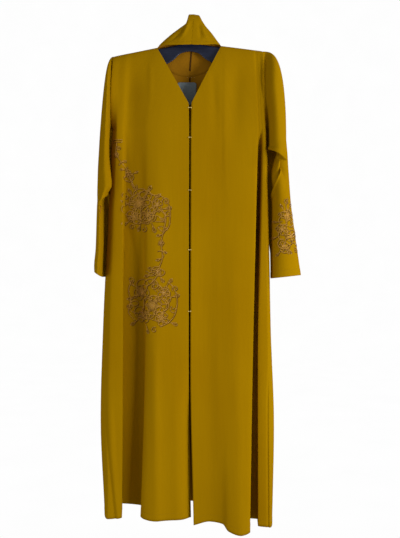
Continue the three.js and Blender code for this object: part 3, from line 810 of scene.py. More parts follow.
def label_material():
    made = Material("label_satin")
    cloth = made.where("UV", (1, 1, 1))
    weave = made.math("MULTIPLY", made.bands(cloth, 420, "X"), made.bands(cloth, 900, "Y"))
    slub = made.noise(made.where("UV", (1, 9, 1)), 60, 3)
    tone = made.blend(made.ramp(slub, 0.3, 0.7), colour(120, 132, 136), colour(138, 150, 154))
    return made.set(color=tone, roughness=made.ramp(weave, 0, 1, 0.42, 0.55), sheen=0.3, sheen_rough=0.3,
                    normal=made.bump(weave, 0.35, 0.0002), specular=0.45)


def plastic_material():
    """Moulded plastic with a fine orange-peel skin and faint rub marks."""
    made = Material("hanger_plastic")
    space = made.where("Object", (1, 1, 1))
    peel = made.noise(space, 900, 2)
    rubs = made.noise(made.where("Object", (1, 4, 9)), 26, 4, 0.65)
    tone = made.blend(made.ramp(rubs, 0.35, 0.75), colour(14, 21, 42), colour(26, 35, 60))
    return made.set(color=tone, roughness=made.ramp(rubs, 0.3, 0.75, 0.3, 0.46),
                    normal=made.bump(peel, 0.08, 0.0003), specular=0.5)


def steel_material():
    made = Material("hook_steel")
    drawn = made.noise(made.where("Object", (1, 1, 0.1)), 700, 3)
    tone = made.blend(made.ramp(drawn, 0.3, 0.7), colour(186, 188, 190), colour(222, 223, 226))
    return made.set(color=tone, metallic=1.0, roughness=made.ramp(drawn, 0.3, 0.7, 0.16, 0.28),
                    normal=made.bump(drawn, 0.06, 0.0002))


CREPE = crepe("crepe", colour(165, 124, 3), colour(158, 116, 2), 0.5)
CREPE_INSIDE = crepe("crepe_inside", colour(160, 110, 20), colour(152, 101, 17), 0.6)
SEWING = thread_material("sewing_thread", colour(172, 134, 24), colour(132, 98, 8), 700)
# pale embroidery cord, its light tone partly a painted highlight; the dark cord laid beside each one paints
# its shadow
CORD = thread_material("embroidery_cord", colour(208, 158, 62), colour(146, 100, 26), 420)
PAINTED_SHADOW_CORD = thread_material("embroidery_painted_shadow", colour(104, 66, 14), colour(66, 40, 6), 620)
# dark thread for the strip along the hood's centre seam: its dark colour is painted seam shadow
SEAM_SHADE_STRIP = thread_material("seam_painted_shade", colour(92, 56, 10), colour(58, 34, 6), 300)
LOOP = thread_material("loop_thread", colour(214, 188, 112), colour(160, 130, 62), 520)
BEAD = bead_material()
LABEL = label_material()
PLASTIC = plastic_material()
STEEL = steel_material()


# ---------------------------------------------------------------- fronts and back
ARM_ROWS = 56
SKIRT_ROWS = 150
SLEEVE_STATIONS = 64        # columns on each half of a sleeve
HEAD_RINGS = 44
SLEEVE_RINGS = 190
HOOD_STATIONS = 60
HOOD_STEPS = 46
FAR = 1e3                   # stands for the distance from a seam that a piece hasn't got


def turned_cloth(from_edge, width, fade=TURNING_FADE):
    """Thickness of the shell: more where the cloth is turned in along an edge."""
    return mix(CLOTH, HEM_CLOTH, 1 - ease((from_edge - width) / fade))


def dress_panel(name, panel, columns_per_fold, creases, seed):
    """A panel's shell: main folds from its table, creases, slow waves, pressed seams, the turned hem."""
    face = panel["face"]
    grid = panel_grid(panel, columns_per_fold, ARM_ROWS, SKIRT_ROWS)
    outward = (0, face, 0)
    across, down = lengths(grid, 1), lengths(grid, 0)
    from_near = across if panel["sides"][0] else np.full_like(across, FAR)
    from_seam = np.minimum(across[:, -1:] - across, from_near)
    from_shoulder = down
    from_hem = down[-1:] - down
    thickness = turned_cloth(from_hem, HEM_WIDTH)
    if face < 0:
        neckline = np.abs(grid[0, :, 0]) < abs(panel["sides"][1]["neckX"])
        from_shoulder = np.where(neckline[None, :], FAR, down)
        thickness = np.maximum(thickness, turned_cloth(across, FACING_WIDTH))
    still = ease(from_seam / QUIET_SEAM) * ease(down / QUIET_SHOULDER)
    folds = crease_field(grid[..., 2], creases, "X", lambda line: grid[..., 0] - line)
    grid[..., 1] += face * (folds + waviness(grid, *PANEL_WAVES, seed)) * still
    relief = pinch(from_seam, down) + pinch(from_shoulder, across, SEAM_DEPTH)
    relief = relief + hem_relief(from_hem, HEM_WIDTH)
    return sew(name, grid, normals_of(grid, outward), relief, outward, thickness)


def turn_from(line, columns):
    """Degrees from a turn to each column of a sleeve; the outer edge is at 0, the front at 90."""
    return (np.arange(columns) / columns * 360 - line + 180) % 360 - 180


def sleeve_flaps(grid, flaps):
    """Folds hung over the cloth beside them: a lip, a sheer drop, and a slow return past it."""
    z = grid[..., 2]
    turn = np.arange(grid.shape[1]) / grid.shape[1] * 360
    total = np.zeros_like(z)
    for row in rows_of(flaps):
        t = (turn - row["fromTurn"]) / (row["toTurn"] - row["fromTurn"])
        inside = np.clip(t, 0, 1)
        line = mix(row["fromZ"], row["toZ"], inside) + row["sag"] * np.sin(np.pi * inside)
        past = (line - z) * row["way"]
        fade = ease((t + 0.25) / 0.3) * ease((1.25 - t) / 0.3)
        drop = ease(past / 4) * np.exp(-(np.maximum(past, 0) / row["reach"]) ** 2)
        total += fade * (row["lip"] * np.exp(-((past + 3) / 6) ** 2) - row["depth"] * drop)
    return total


def sleeve_pushes(grid, side, pushes):
    """Places where the sleeve bulges or sinks: how far it moves towards the body and the front."""
    z = grid[..., 2]
    total = np.zeros_like(grid)
    for row in rows_of(pushes):
        rise = z - row["z"]
        span = np.where(rise > 0, row["above"], row["below"])
        share = np.exp(-(rise / span) ** 2 - (turn_from(row["turn"], grid.shape[1]) / row["around"]) ** 2)
        total[..., 0] -= side["sign"] * row["inward"] * share
        total[..., 1] -= row["forward"] * share
    return total


SLEEVE_CREASE_COLUMNS = ["fromZ", "fromTurn", "toZ", "toTurn", "bow", "width", "depth", "start", "end"]
FLAP_COLUMNS = ["fromTurn", "fromZ", "toTurn", "toZ", "sag", "way", "lip", "depth", "reach"]
PUSH_COLUMNS = ["z", "turn", "above", "below", "around", "inward", "forward"]
RIGHT_SLEEVE_CREASES = table(
    SLEEVE_CREASE_COLUMNS,
    [-190, 70, -440, 60, 6, 22, -2.0, 0.4, 0.5],
    [-556, 62, -604, 128, 4, 9, 2.6, 0.4, 0.4],
    [-590, 60, -628, 120, 4, 9, -2.6, 0.4, 0.4],
    [-640, 96, -770, 100, 4, 16, 1.8, 0.4, 0.3],
    [-180, 250, -460, 262, 6, 16, -3.2, 0.4, 0.5],
    [-470, 300, -560, 220, 8, 15, -3.4, 0.4, 0.4],
    [-560, 230, -640, 310, 6, 14, 3.0, 0.4, 0.4],
    [-640, 262, -780, 270, 4, 14, -2.4, 0.4, 0.3],
)
RIGHT_SLEEVE_FLAPS = table(
    FLAP_COLUMNS,
    [168, -546, 66, -580, 4, 1, 2.0, 9, 30],
    [300, -500, 205, -540, 4, 1, 2.0, 8, 34],
)
RIGHT_SLEEVE_PUSHES = table(
    PUSH_COLUMNS,
    [-520, 138, 70, 18, 42, 13, 2],
    [-410, 180, 70, 60, 24, -5, 0],
    [-575, 150, 16, 70, 40, -3, -8],
)
LEFT_SLEEVE_CREASES = table(
    SLEEVE_CREASE_COLUMNS,
    [-150, 70, -380, 66, 6, 20, -2.0, 0.4, 0.4],
    [-500, 40, -600, 70, 6, 14, 2.0, 0.4, 0.4],
    [-600, 60, -770, 52, 6, 18, 1.6, 0.4, 0.3],
    [-160, 262, -420, 250, 6, 16, -3.4, 0.4, 0.5],
    [-430, 300, -500, 212, 8, 15, -3.8, 0.4, 0.4],
    [-480, 230, -560, 310, 6, 14, 3.0, 0.4, 0.4],
    [-600, 270, -780, 262, 4, 14, -2.4, 0.4, 0.3],
)
LEFT_SLEEVE_FLAPS = table(
    FLAP_COLUMNS,
    [184, -402, 62, -440, 4, 1, 5.0, 26, 42],
    [78, -462, 176, -556, -4, -1, 3.0, 14, 26],
    [310, -400, 200, -446, 4, 1, 2.0, 9, 34],
)
LEFT_SLEEVE_PUSHES = table(
    PUSH_COLUMNS,
    [-440, 150, 20, 50, 34, -2, -4],
    [-590, 150, 70, 90, 34, 0, -5],
)
TUCK_COLUMNS = ["z", "tuck"]    # how far the sleeves' backs turn in behind the body's sides
RIGHT_TUCK = table(
    TUCK_COLUMNS,
    [-800, 15],
    [-640, 23],
    [-420, 22],
    [-340, 12],
    [-240, 0],
)
LEFT_TUCK = table(
    TUCK_COLUMNS,
    [-800, 6],
    [-720, 8],
    [-640, 20],
    [-420, 20],
    [-340, 12],
    [-240, 0],
)
HEAD_TROUGH = 14            # the cloth sinks beside the armhole seam
TROUGH_OUT = 11             # and is deepest this far from it


def dress_sleeve(name, side, rows, tucks, creases, flaps, pushes, seed):
    """A sleeve's shell: turned in behind the body, pushed, creased and folded over at the elbow."""
    grid = sleeve_grid(side, rows, SLEEVE_STATIONS, HEAD_RINGS, SLEEVE_RINGS)
    outward = (side["sign"], 0, 0)
    columns = grid.shape[1]
    turn = np.arange(columns) / columns
    down = lengths(grid, 0)
    from_cuff = down[-1:] - down
    tuck = np.maximum(np.sin(4 * np.pi * turn), 0) * (turn > 0.5)
    grid[..., 0] -= side["sign"] * tuck * np.interp(grid[..., 2], tucks["z"], tucks["tuck"])
    grid += sleeve_pushes(grid, side, pushes)
    trough = HEAD_TROUGH * down / TROUGH_OUT * np.exp(1 - down / TROUGH_OUT)
    grid[..., 1] += trough * np.sin(2 * np.pi * turn)
    around = lengths(grid, 1)
    relief = crease_field(grid[..., 2], creases, "Turn", lambda line: turn_from(line, columns))
    relief += sleeve_flaps(grid, flaps)
    relief += waviness(grid, *SLEEVE_WAVES, seed)
    relief *= ease(down / QUIET_ARMHOLE) * ease(from_cuff / 12 + 0.25)
    relief += pinch(down, around, SEAM_DEPTH) + hem_relief(from_cuff, HEM_WIDTH)
    from_under = np.abs(turn - 0.5)[None, :] * around[:, -1:]
    relief += pinch(from_under, down) * ease(down / 8)
    thickness = turned_cloth(from_cuff, HEM_WIDTH)
    return sew(name, grid, normals_of(grid, outward, True), relief, outward, thickness, True)


def dress_hood(name, rows, sign, creases, seed):
    """Half of the hood: it hangs over the hook from the centre seam, with a narrow hem in front."""
    grid = hood_grid(rows, sign, HOOD_STATIONS, HOOD_STEPS)
    outward = (0, 0, 1)
    across, down = lengths(grid, 1), lengths(grid, 0)
    from_hem = down[-1:] - down
    still = ease(across / 10) * ease(down / 14)
    relief = waviness(grid, *HOOD_WAVES, seed) * still
    relief += crease_field(grid[..., 2], creases, "X", lambda line: grid[..., 0] - line) * still
    relief += (pinch(across, down) + pinch(down, across)) * ease(across / 2) * ease(down / 2)
    relief += hem_relief(from_hem, HOOD_HEM) * 0.6
    return sew(name, grid, normals_of(grid, outward), relief, outward, turned_cloth(from_hem, HOOD_HEM, 2))


def lay_hood_seam_shade(grid, normals, lining):
    """A raised strip inside the hood along its centre seam, standing for the seam allowance, and its tail
    down the back to the label; its dark colour is painted seam shadow.
    """
    rows = slice(2, grid.shape[0] // 2 + 1)
    line, facing = grid[rows, 0] - normals[rows, 0] * SEAM_SHADE_IN, -normals[rows, 0]
    x, _, z = min(line[0], line[-1], key=lambda point: point[2])
    tail = [lining.seen(x, level, SEAM_SHADE_IN) for level in np.linspace(z - 4, LABEL_TOP_Z + 2, 12)]
    bundle = Bundle()
    for places, turned in ((line, facing), zip(*[found for found in tail if found])):
        bundle.tube(places, turned, SEAM_SHADE_WIDTH / 2, sides=10, flat=0.3)
    return settle(bundle.build("hood_seam_painted_shade", SEAM_SHADE_STRIP))


SEAM_SHADE_WIDTH = 4.4
SEAM_SHADE_IN = 1.6            # it lies this far inside the cloth's outer face
RIGHT_HOOD_CREASES = table(
    CREASE_COLUMNS,
    [-2, -10, -36, -84, 5, 6, 3.0, 0.3, 0.4],
    [-14, -26, -66, -86, 5, 7, -2.6, 0.3, 0.4],
    [8, -14, 6, -52, -1, 2.2, -3.0, 0.4, 0.5],
)
LEFT_HOOD_CREASES = table(
    CREASE_COLUMNS,
    [24, -8, 30, -84, 4, 7, -3.0, 0.3, 0.4],
    [32, -26, 60, -84, -5, 6, 3.0, 0.3, 0.4],
)

# Each piece comes with its outer grid of points and the grid's normals, as one pair.
right_front, *right_lie = dress_panel("front_right_panel", RIGHT_FRONT, 15, RIGHT_FRONT_CREASES, 3)
left_front, *left_lie = dress_panel("front_left_panel", LEFT_FRONT, 14, LEFT_FRONT_CREASES, 17)
back, *back_lie = dress_panel("back_panel", BACK, 12, BACK_CREASES, 31)
right_sleeve, *right_sleeve_lie = dress_sleeve(
    "sleeve_right", SIDES["right"], RIGHT_SLEEVE, RIGHT_TUCK,
    RIGHT_SLEEVE_CREASES, RIGHT_SLEEVE_FLAPS, RIGHT_SLEEVE_PUSHES, 47)
left_sleeve, *left_sleeve_lie = dress_sleeve(
    "sleeve_left", SIDES["left"], LEFT_SLEEVE, LEFT_TUCK,
    LEFT_SLEEVE_CREASES, LEFT_SLEEVE_FLAPS, LEFT_SLEEVE_PUSHES, 61)
right_hood, *right_hood_lie = dress_hood("hood_right", RIGHT_HOOD, -1, RIGHT_HOOD_CREASES, 71)
left_hood, *left_hood_lie = dress_hood("hood_left", LEFT_HOOD, 1, LEFT_HOOD_CREASES, 83)
lining = Surface(back_lie[0])
hood_seam_shade = lay_hood_seam_shade(*left_hood_lie, lining)


# ---------------------------------------------------------------- hanger
def tilt(points):
    """The hanger hangs a little down on its left, turned about the hook's bearing point."""
    points = np.asarray(points, float)
    x, z = points[:, 0], points[:, 2]
    cos, sin = math.cos(HANGER_TILT), math.sin(HANGER_TILT)
    return np.stack([x * cos - z * sin, points[:, 1], x * sin + z * cos], axis=1) * MM


def hanger_section(x, sides):
    """Points round the bar at a distance from its middle: flat faces, with rounded edges."""
    out = HANGER_OUTLINE["out"].astype(float)
    top = float(smooth(out, HANGER_OUTLINE["top"], abs(x)))
    bottom = float(smooth(out, HANGER_OUTLINE["bottom"], abs(x)))
    middle, height = (top + bottom) / 2, (top - bottom) / 2
    near_tip = min(1.0, math.sqrt(max((HANGER_TIP + 0.5 - abs(x)) / 5, 0.02)))
    deep = HANGER_THICKNESS / 2 * near_tip
    points = []
    for k in range(sides):
        turn = 2 * math.pi * k / sides
        c, s = math.cos(turn), math.sin(turn)
        y = deep * np.sign(c) * min(1.0, abs(c) * 1.25) ** 0.55
        z = middle + height * np.sign(s) * abs(s) ** 0.35
        points.append((HANGER_CENTRE_X + x, y, z))
    return points


def build_hanger():
    """One moulding: an arched bar with rounded edges and a boss for the hook."""
    rounded = HANGER_TIP - TIP_ROUND * (1 - np.linspace(0.05, 0.999, 16)) ** 1.6
    half = np.concatenate([np.linspace(0, HANGER_TIP - TIP_ROUND, 81), rounded])
    places = np.concatenate([-half[:0:-1], half])
    sides = 28
    last = (len(places) - 1) * sides
    faces = quads(len(places), sides)
    faces.append(tuple(range(sides - 1, -1, -1)))
    faces.append(tuple(range(last, last + sides)))
    vertices = [point for x in places for point in hanger_section(x, sides)]
    uv = [(0.0, 0.0)] * sum(len(face) for face in faces)
    obj = make_mesh("hanger_moulding", tilt(vertices), faces, [PLASTIC], uv)
    return settle(obj, "hanger_body")


def build_hook():
    """A bent wire: its stem stands in the boss, swings out and turns over the bearing point."""
    centre_z = -(HOOK_RADIUS - HOOK_WIRE / 2)
    stem_from = BOSS_TOP_Z - 3
    stem = centre_z - stem_from
    length = stem + HOOK_RADIUS * HOOK_SWEEP
    points = []
    for run in np.linspace(0, length, 110):
        if run < stem:
            swing = float(ease((run / stem - 0.35) / 0.65))
            points.append((mix(HANGER_CENTRE_X, -HOOK_RADIUS, swing), 0, stem_from + run))
        else:
            angle = math.pi - (run - stem) / HOOK_RADIUS
            points.append((HOOK_RADIUS * math.cos(angle), 0, centre_z + HOOK_RADIUS * math.sin(angle)))
    radii = np.full(len(points), HOOK_WIRE / 2)
    radii[-3:] *= [0.95, 0.8, 0.45]
    bundle = Bundle()
    bundle.tube(points, [(0, 1, 0)] * len(points), radii, sides=20)
    return settle(bundle.build("hanger_hook_wire", STEEL, move=tilt), "hanger_hook")


build_hanger()
build_hook()


# ---------------------------------------------------------------- label and fasteners
def build_label():
    """A plain label with rounded top corners, laid against the inside of the back."""
    grid = []
    for z in np.linspace(LABEL_TOP_Z, LABEL_FOOT_Z, 30):
        lowered = LABEL_ROUND * (1 - np.clip((LABEL_TOP_Z - z) / LABEL_ROUND, 0, 1))
        cut = LABEL_ROUND - math.sqrt(LABEL_ROUND ** 2 - lowered ** 2)
        places = np.linspace(LABEL_FROM_X + cut, LABEL_TO_X - cut, 26)
        grid.append([lining.seen(x, z, LABEL_OFF)[0] for x in places])
    grid = np.array(grid)
    normals = normals_of(grid, (0, -1, 0))
    across, down = lengths(grid, 1), lengths(grid, 0)
    edge = np.minimum(np.minimum(across, across[:, -1:] - across), np.minimum(down, down[-1:] - down))
    relief = 0.35 * np.exp(-((edge - 2.5) / 0.9) ** 2) + waviness(grid, *LABEL_WAVES, 5) * ease(edge / 8)
    grid = grid + normals * relief[..., None]
    obj = cloth_shell("neck_label_cloth", grid, normals_of(grid, (0, -1, 0)), LABEL_CLOTH, (LABEL, LABEL))
    return settle(obj, "neck_label")


def build_fastener(number, z):
    """A loop of thread bars across the opening, bound by a small knot at each end."""
    bundle = Bundle()
    start, end = edge_at(right_lie[0], z) + [-0.6, -0.3, 0], edge_at(left_lie[0], z) + [0.6, -0.3, 0]
    for rise, drop in ((0.75, 0.2), (0.0, -0.1), (-0.75, 0.25)):
        t = np.linspace(0, 1, 15)[:, None]
        sag = np.array([0, 0, drop]) * np.sin(np.pi * t)
        points = mix(start, end, t) + np.array([0, -0.7, rise]) - sag
        bundle.tube(points, [(0, -1, 0)] * 15, 0.5, sides=8)
    for point in (start, end):
        bundle.bead(point + [0, -0.8, 0], (0, -1, 0), 1.7, 0.7, 7, 12)
    return settle(bundle.build(f"front_loop_{number}", LOOP), f"front_fastener_{number}")


def edge_at(grid, z):
    """The place on a front's opening edge at one height."""
    line = grid[:, 0]
    order = np.argsort(line[:, 2])
    return np.array([float(np.interp(z, line[order, 2], line[order, k])) for k in range(3)])


label = build_label()
for number, height in enumerate(FASTENER_HEIGHTS, 1):
    build_fastener(number, height)


# ---------------------------------------------------------------- stitching
def build_stitching():
    """The thread that holds the turned hems."""
    sewing = Bundle()
    for lie in (right_lie, left_lie, back_lie):
        stitches(sewing, *hem_line(*lie, HEM_WIDTH))
    for lie in (right_sleeve_lie, left_sleeve_lie):
        line, turned = hem_line(*lie, HEM_WIDTH)
        stitches(sewing, np.concatenate([line, line[:1]]), np.concatenate([turned, turned[:1]]))
    for lie in (right_hood_lie, left_hood_lie):
        stitches(sewing, *hem_line(*lie, HOOD_HEM), pitch=2.8, length=1.9, radius=0.24)
    return settle(sewing.build("hem_stitching", SEWING))


stitching = build_stitching()


# ---------------------------------------------------------------- embroidery
LARGE_FLOWER = 20           # above this radius a flower has inner petals


def petal(x, z, length, width, turn):
    """A petal from its foot, round a faintly pointed tip and back."""
    t = np.linspace(0, 1, 30)
    along = length * np.sin(np.pi * t) ** 0.8
    across = width * np.sin(2 * np.pi * t) * (0.55 + 0.45 * np.sin(np.pi * t))
    c, s = math.cos(math.radians(turn)), math.sin(math.radians(turn))
    return np.stack([x + along * c - across * s, z + along * s + across * c], axis=1)


def spiral(x, z, radius, spin):
    """A line that closes in on a point as it spins."""
    return np.stack([x + radius * np.cos(spin), z + radius * np.sin(spin)], axis=1)


def rosette(x, z, radius, petals, turn):
    """An open flower: petals in outline round a coiled heart, and inner petals in a large one."""
    lines = []
    for k in range(petals):
        at = turn + 360 * k / petals
        lines.append(petal(x, z, radius * (0.94 + 0.08 * math.sin(2.3 * k)), radius * 0.4, at))
        if radius > LARGE_FLOWER:
            lines.append(petal(x, z, radius * 0.62, radius * 0.22, at + 180 / petals))
    t = np.linspace(0, 1, 40)
    lines.append(spiral(x, z, radius * 0.3 * (1 - 0.85 * t), np.radians(turn + 620 * t)))
    return lines


def leaf(x, z, length, turn):
    """A leaf's outline, and a vein that runs back as a curled stalk to what it grows from."""
    t = np.linspace(-0.9, 0.8, 16)
    bend = math.radians(turn) - 0.5 * np.minimum(t, 0)
    return [petal(x, z, length, length * 0.26, turn),
            np.stack([x + length * t * np.cos(bend), z + length * t * np.sin(bend)], axis=1)]


def scroll(x, z, radius, turn, way=1):
    """A tendril that curls in on itself."""
    t = np.linspace(0, 1, 36)
    return [spiral(x, z, radius * (1 - 0.82 * t), np.radians(turn + way * 430 * t))]


def garland(x, z, wide, high, loops, size):
    """One cord that wanders in uneven loops round a cluster of flowers."""
    t = np.linspace(0, 2 * np.pi, 40 * int(loops))
    spin = loops * t + 1.6 * np.sin(2 * t + x) + 0.9 * np.sin(5 * t)
    swell = size * (1 + 0.5 * np.sin(3 * t + z))
    across = wide * (1 + 0.16 * np.sin(4 * t)) * np.cos(t) + swell * np.cos(spin)
    along = high * (1 + 0.16 * np.cos(3 * t)) * np.sin(t) + 0.8 * swell * np.sin(spin)
    return [np.stack([x + across, z + along], axis=1)]


def curve(points):
    """A stem: a smooth line through a few points."""
    points = np.array(points, float)
    knots = np.arange(len(points))
    at = np.linspace(0, knots[-1], 40)
    return np.stack([smooth(knots, points[:, 0], at), smooth(knots, points[:, 1], at)], axis=1)


FLOWER_COLUMNS = ["x", "z", "radius", "petals", "turn"]
FRONT_FLOWERS = table(
    FLOWER_COLUMNS,
    [-152, -568, 34, 6, 10],
    [-126, -606, 27, 5, 40],
    [-170, -608, 23, 5, 75],
    [-98, -576, 17, 5, 20],
    [-86, -690, 9, 5, 0],
    [-96, -776, 11, 5, 30],
    [-146, -838, 25, 6, 0],
    [-112, -876, 30, 6, 25],
    [-78, -838, 20, 5, 60],
    [-140, -908, 22, 5, 15],
    [-84, -914, 21, 5, 45],
    [-222, -425, 9, 5, 15],
    [-186, -482, 10, 5, 50],
)
LEAF_COLUMNS = ["x", "z", "length", "turn"]
FRONT_LEAVES = table(
    LEAF_COLUMNS,
    [-184, -572, 20, 160], [-176, -544, 20, 120], [-128, -540, 22, 60], [-104, -556, 18, 35],
    [-78, -588, 22, 10], [-92, -612, 20, -40], [-112, -636, 22, -70], [-150, -632, 20, -110],
    [-188, -624, 16, 210], [-80, -642, 14, -30], [-84, -664, 14, 200], [-84, -714, 14, -20],
    [-86, -736, 14, 205], [-104, -770, 20, 165], [-88, -790, 18, -60], [-118, -786, 18, 190],
    [-168, -820, 18, 140], [-172, -856, 18, 190], [-164, -926, 18, 215], [-128, -942, 16, -80],
    [-58, -926, 20, -20], [-52, -850, 20, 15], [-66, -812, 18, 50], [-108, -820, 18, 95],
    [-206, -448, 13, 30], [-196, -466, 12, 200], [-178, -502, 14, -70], [-170, -478, 12, 20],
)
SCROLL_COLUMNS = ["x", "z", "radius", "turn", "way"]
FRONT_SCROLLS = table(
    SCROLL_COLUMNS,
    [-194, -548, 11, 90, 1], [-72, -566, 12, 180, -1], [-66, -604, 10, 40, 1], [-138, -648, 10, 80, -1],
    [-176, -640, 9, 0, 1], [-180, -800, 10, 300, 1], [-186, -880, 11, 60, -1], [-48, -888, 12, 120, 1],
    [-44, -826, 10, 220, -1], [-106, -948, 9, 60, 1], [-214, -404, 7, 200, 1], [-168, -520, 9, 60, -1],
)
GARLAND_COLUMNS = ["x", "z", "wide", "high", "loops", "size"]
FRONT_GARLANDS = table(
    GARLAND_COLUMNS,
    [-146, -580, 38, 44, 11, 11],
    [-132, -592, 20, 26, 5, 9],
    [-120, -858, 48, 52, 13, 12],
    [-104, -880, 28, 30, 5, 10],
    [-186, -488, 10, 16, 5, 4],
    [-98, -776, 18, 10, 5, 5],
)
FRONT_STEMS = [
    [(-234, -380), (-206, -380)],
    [(-232, -387), (-208, -387)],
    [(-220, -390), (-222, -418), (-208, -446), (-190, -470), (-178, -500), (-158, -540)],
    [(-92, -590), (-72, -612), (-78, -650), (-86, -690), (-82, -730), (-92, -764)],
    [(-96, -786), (-112, -806), (-132, -822)],
    [(-118, -546), (-92, -548), (-68, -566), (-59, -600), (-62, -636), (-80, -656), (-96, -644)],
    [(-110, -600), (-88, -592), (-74, -606), (-82, -626), (-104, -626)],
    [(-66, -806), (-48, -824), (-38, -862), (-44, -900), (-64, -926), (-88, -938)],
    [(-176, -800), (-188, -832), (-180, -866), (-188, -896), (-168, -924)],
    [(-104, -776), (-120, -778), (-132, -774)],
]
SLEEVE_FLOWERS = table(
    FLOWER_COLUMNS,
    [290, -606, 15, 5, 20],
    [274, -650, 17, 5, 60],
    [300, -668, 18, 6, 10],
    [278, -700, 15, 5, 35],
)
SLEEVE_LEAVES = table(
    LEAF_COLUMNS,
    [296, -584, 14, 70], [276, -590, 14, 120], [306, -622, 14, 30], [262, -628, 13, 170],
    [314, -652, 13, 40], [258, -672, 12, 200], [312, -690, 13, -30], [294, -708, 14, -60],
    [266, -718, 12, 230], [286, -630, 12, 90],
)
SLEEVE_SCROLLS = table(
    SCROLL_COLUMNS,
    [286, -568, 8, 90, 1], [308, -604, 7, 200, -1], [260, -648, 7, 0, 1], [316, -712, 8, 120, -1],
    [266, -606, 7, 300, 1],
)
SLEEVE_GARLANDS = table(
    GARLAND_COLUMNS,
    [286, -658, 17, 50, 11, 8],
)
SLEEVE_STEMS = [
    [(290, -556), (284, -580), (292, -606), (284, -636)],
    [(276, -640), (290, -662), (282, -690), (292, -722)],
]


CORD_LIFT = 0.7             # of a cord's radius: its middle lies this far off the cloth
# the dark cord that paints each pale cord's shadow lies this far off it, in x and z
SHADOW_CORD_OFFSET = np.array([1.5, -1.5])
COUCHING = {                # radius of each kind of line, and the length of its steps
    "flower": (0.95, 2.2), "small flower": (0.75, 2.2), "leaf": (0.8, 2.0),
    "scroll": (0.95, 2.0), "garland": (1.05, 2.4), "stem": (1.0, 2.4),
}
SMALL_FLOWER = 12           # up to this radius a flower has the finer line
PALE_CORD = 1.15            # shares of a line's own radius
SHADOW_CORD_SHARE = 0.95


def embroider(name, surface, flowers, leaves, scrolls, garlands, stems):
    """Cord outlines couched on the cloth, each with a dark cord beside it as its painted shadow, finer cord
    for the leaves, and beads at hearts and tips.
    """
    thick, shadow_bundle, beads = Bundle(), Bundle(), Bundle()

    def lay(bundle, line, radius, step):
        """A cord along a line, broken where the cloth under it jumps or ends."""
        run = run_of(line)
        at = np.linspace(0, run[-1], max(int(run[-1] / step), 3))
        track = zip(np.interp(at, run, line[:, 0]), np.interp(at, run, line[:, 1]))
        places = [surface.seen(x, z, radius * CORD_LIFT) for x, z in track]
        stretch = []
        for found in [*places, None]:
            whole = found and stretch and np.linalg.norm(found[0] - stretch[-1][0]) < 4 * step
            if stretch and not whole:
                if len(stretch) > 2:
                    bundle.tube(*zip(*stretch), radius, sides=6, flat=0.85)
                stretch = []
            if found:
                stretch.append(found)

    def couch(line, kind):
        """A pale cord, its light tone partly a painted highlight, with a dark cord close beside it that
        paints its shadow.
        """
        radius, step = COUCHING[kind]
        lay(thick, line, radius * PALE_CORD, step)
        lay(shadow_bundle, line + SHADOW_CORD_OFFSET, radius * SHADOW_CORD_SHARE, step)

    def sew_bead(x, z, radius):
        found = surface.seen(x, z, radius * 0.5)
        if found:
            beads.bead(*found, radius, 0.8, 5, 8)

    for x, z, radius, petals, turn in zip(*flowers.values()):
        for line in rosette(x, z, radius, int(petals), turn):
            couch(line, "flower" if radius > SMALL_FLOWER else "small flower")
        sew_bead(x, z, 1.5)
        for t in range(int(petals)):
            at = math.radians(turn + 360 * (t + 0.5) / petals)
            sew_bead(x + 0.42 * radius * math.cos(at), z + 0.42 * radius * math.sin(at), 1.0)
    for x, z, length, turn in zip(*leaves.values()):
        for line in leaf(x, z, length, turn):
            couch(line, "leaf")
        tip = math.radians(turn)
        sew_bead(x + (length + 2) * math.cos(tip), z + (length + 2) * math.sin(tip), 1.1)
    for x, z, radius, turn, way in zip(*scrolls.values()):
        for line in scroll(x, z, radius, turn, way):
            couch(line, "scroll")
    for row in zip(*garlands.values()):
        for line in garland(*row):
            couch(line, "garland")
    for points in stems:
        line = curve(points)
        couch(line, "stem")
        for x, z in line[4::7]:
            sew_bead(x + 2.2, z, 1.0)
    made = (("cord", thick, CORD), ("painted_shadow_cord", shadow_bundle, PAINTED_SHADOW_CORD), ("beads", beads, BEAD))
    return [settle(bundle.build(f"{name}_{suffix}", material))
            for suffix, bundle, material in made]


front_embroidery = embroider(
    "front_embroidery", Surface(right_lie[0]),
    FRONT_FLOWERS, FRONT_LEAVES, FRONT_SCROLLS, FRONT_GARLANDS, FRONT_STEMS)
sleeve_grid_closed = np.concatenate([left_sleeve_lie[0], left_sleeve_lie[0][:, :1]], axis=1)
sleeve_embroidery = embroider(
    "sleeve_embroidery", Surface(sleeve_grid_closed),
    SLEEVE_FLOWERS, SLEEVE_LEAVES, SLEEVE_SCROLLS, SLEEVE_GARLANDS, SLEEVE_STEMS)


# ---------------------------------------------------------------- studio
FLOOR_Z = -2.05
ROOM_RADIUS = 9.0
ROOM_FOOT = 2.5             # radius of the curve between its floor and wall
ROOM_TOP_Z = 7.0
CAMERA_AT = (0.017, -2.0, -0.7675)
CAMERA_LENS = 44.0
WORLD_STRENGTH = 0.28


def room_paper():
    """Matt white paper that glows evenly, as paper lit from behind does."""
    made = Material("studio_paper")
    fibre = made.noise(made.where("Object", (1, 1, 1)), 3, 3)
    tone = made.blend(made.ramp(fibre, 0.3, 0.7), (0.985, 0.985, 0.985, 1), (0.995, 0.995, 0.995, 1))
    made.feed(made.shader.inputs["Emission Color"], tone)
    made.feed(made.shader.inputs["Emission Strength"], 1.0)
    return made.set(color=(0, 0, 0, 1), roughness=1.0, specular=0.0)


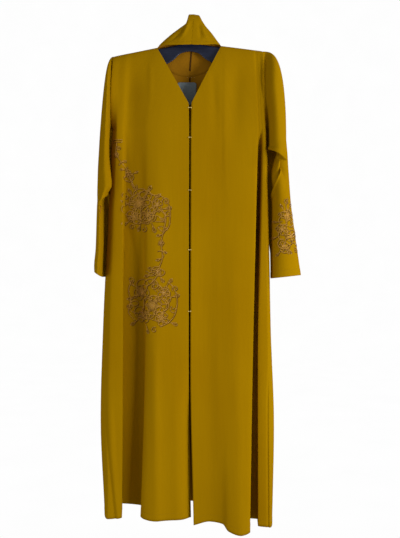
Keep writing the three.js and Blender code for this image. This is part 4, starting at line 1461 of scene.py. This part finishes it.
def build_room():
    """A round room of pale paper: its floor curves up into the wall. It is seen, but lights nothing."""
    turn = np.linspace(0, math.pi / 2, 9)
    profile = [(ROOM_RADIUS - ROOM_FOOT + ROOM_FOOT * math.sin(t), FLOOR_Z + ROOM_FOOT * (1 - math.cos(t)))
               for t in turn]
    profile = [(0.01, FLOOR_Z), *profile, (ROOM_RADIUS, ROOM_TOP_Z), (0.01, ROOM_TOP_Z + 1)]
    segments = 64
    around = np.arange(segments) / segments * 2 * math.pi
    vertices = [(r * math.cos(t), r * math.sin(t), z) for r, z in profile for t in around]
    faces = quads(len(profile), segments)
    faces.append(tuple(range(segments - 1, -1, -1)))
    faces.append(tuple(range(len(vertices) - segments, len(vertices))))
    room = make_mesh("studio_floor", vertices, faces, [room_paper()])
    room.visible_diffuse = room.visible_glossy = room.visible_transmission = room.visible_shadow = False


def area_light(name, location, aim, size, power):
    data = bpy.data.lights.new(name, "AREA")
    data.energy = power
    data.size = size
    obj = link(bpy.data.objects.new(name, data))
    obj.location = location
    obj.rotation_euler = (Vector(aim) - Vector(location)).to_track_quat("-Z", "Y").to_euler()
    obj.visible_camera = False


def build_camera():
    data = bpy.data.cameras.new("camera")
    data.sensor_width = 36
    data.lens = CAMERA_LENS
    obj = link(bpy.data.objects.new("camera", data))
    obj.location = CAMERA_AT
    obj.rotation_euler = (math.radians(90), 0, 0)
    bpy.context.scene.camera = obj


def build_world():
    world = bpy.data.worlds.new("studio")
    world.use_nodes = True
    background = world.node_tree.nodes["Background"]
    background.inputs["Color"].default_value = (1, 1, 1, 1)
    background.inputs["Strength"].default_value = WORLD_STRENGTH
    bpy.context.scene.world = world


build_room()
build_camera()
build_world()
area_light("key", (1.7, -1.5, -0.9), (0, 0, -0.9), 0.9, 36)
area_light("rim", (2.3, -0.7, 0.3), (0.3, 0, -0.3), 0.7, 17)
area_light("fill", (-1.8, -1.5, -1.1), (0, 0, -1.1), 0.9, 14)
area_light("back", (1.5, 2.2, -0.4), (0, 0, -0.8), 1.0, 22)
bpy.context.scene.view_settings.view_transform = "Standard"
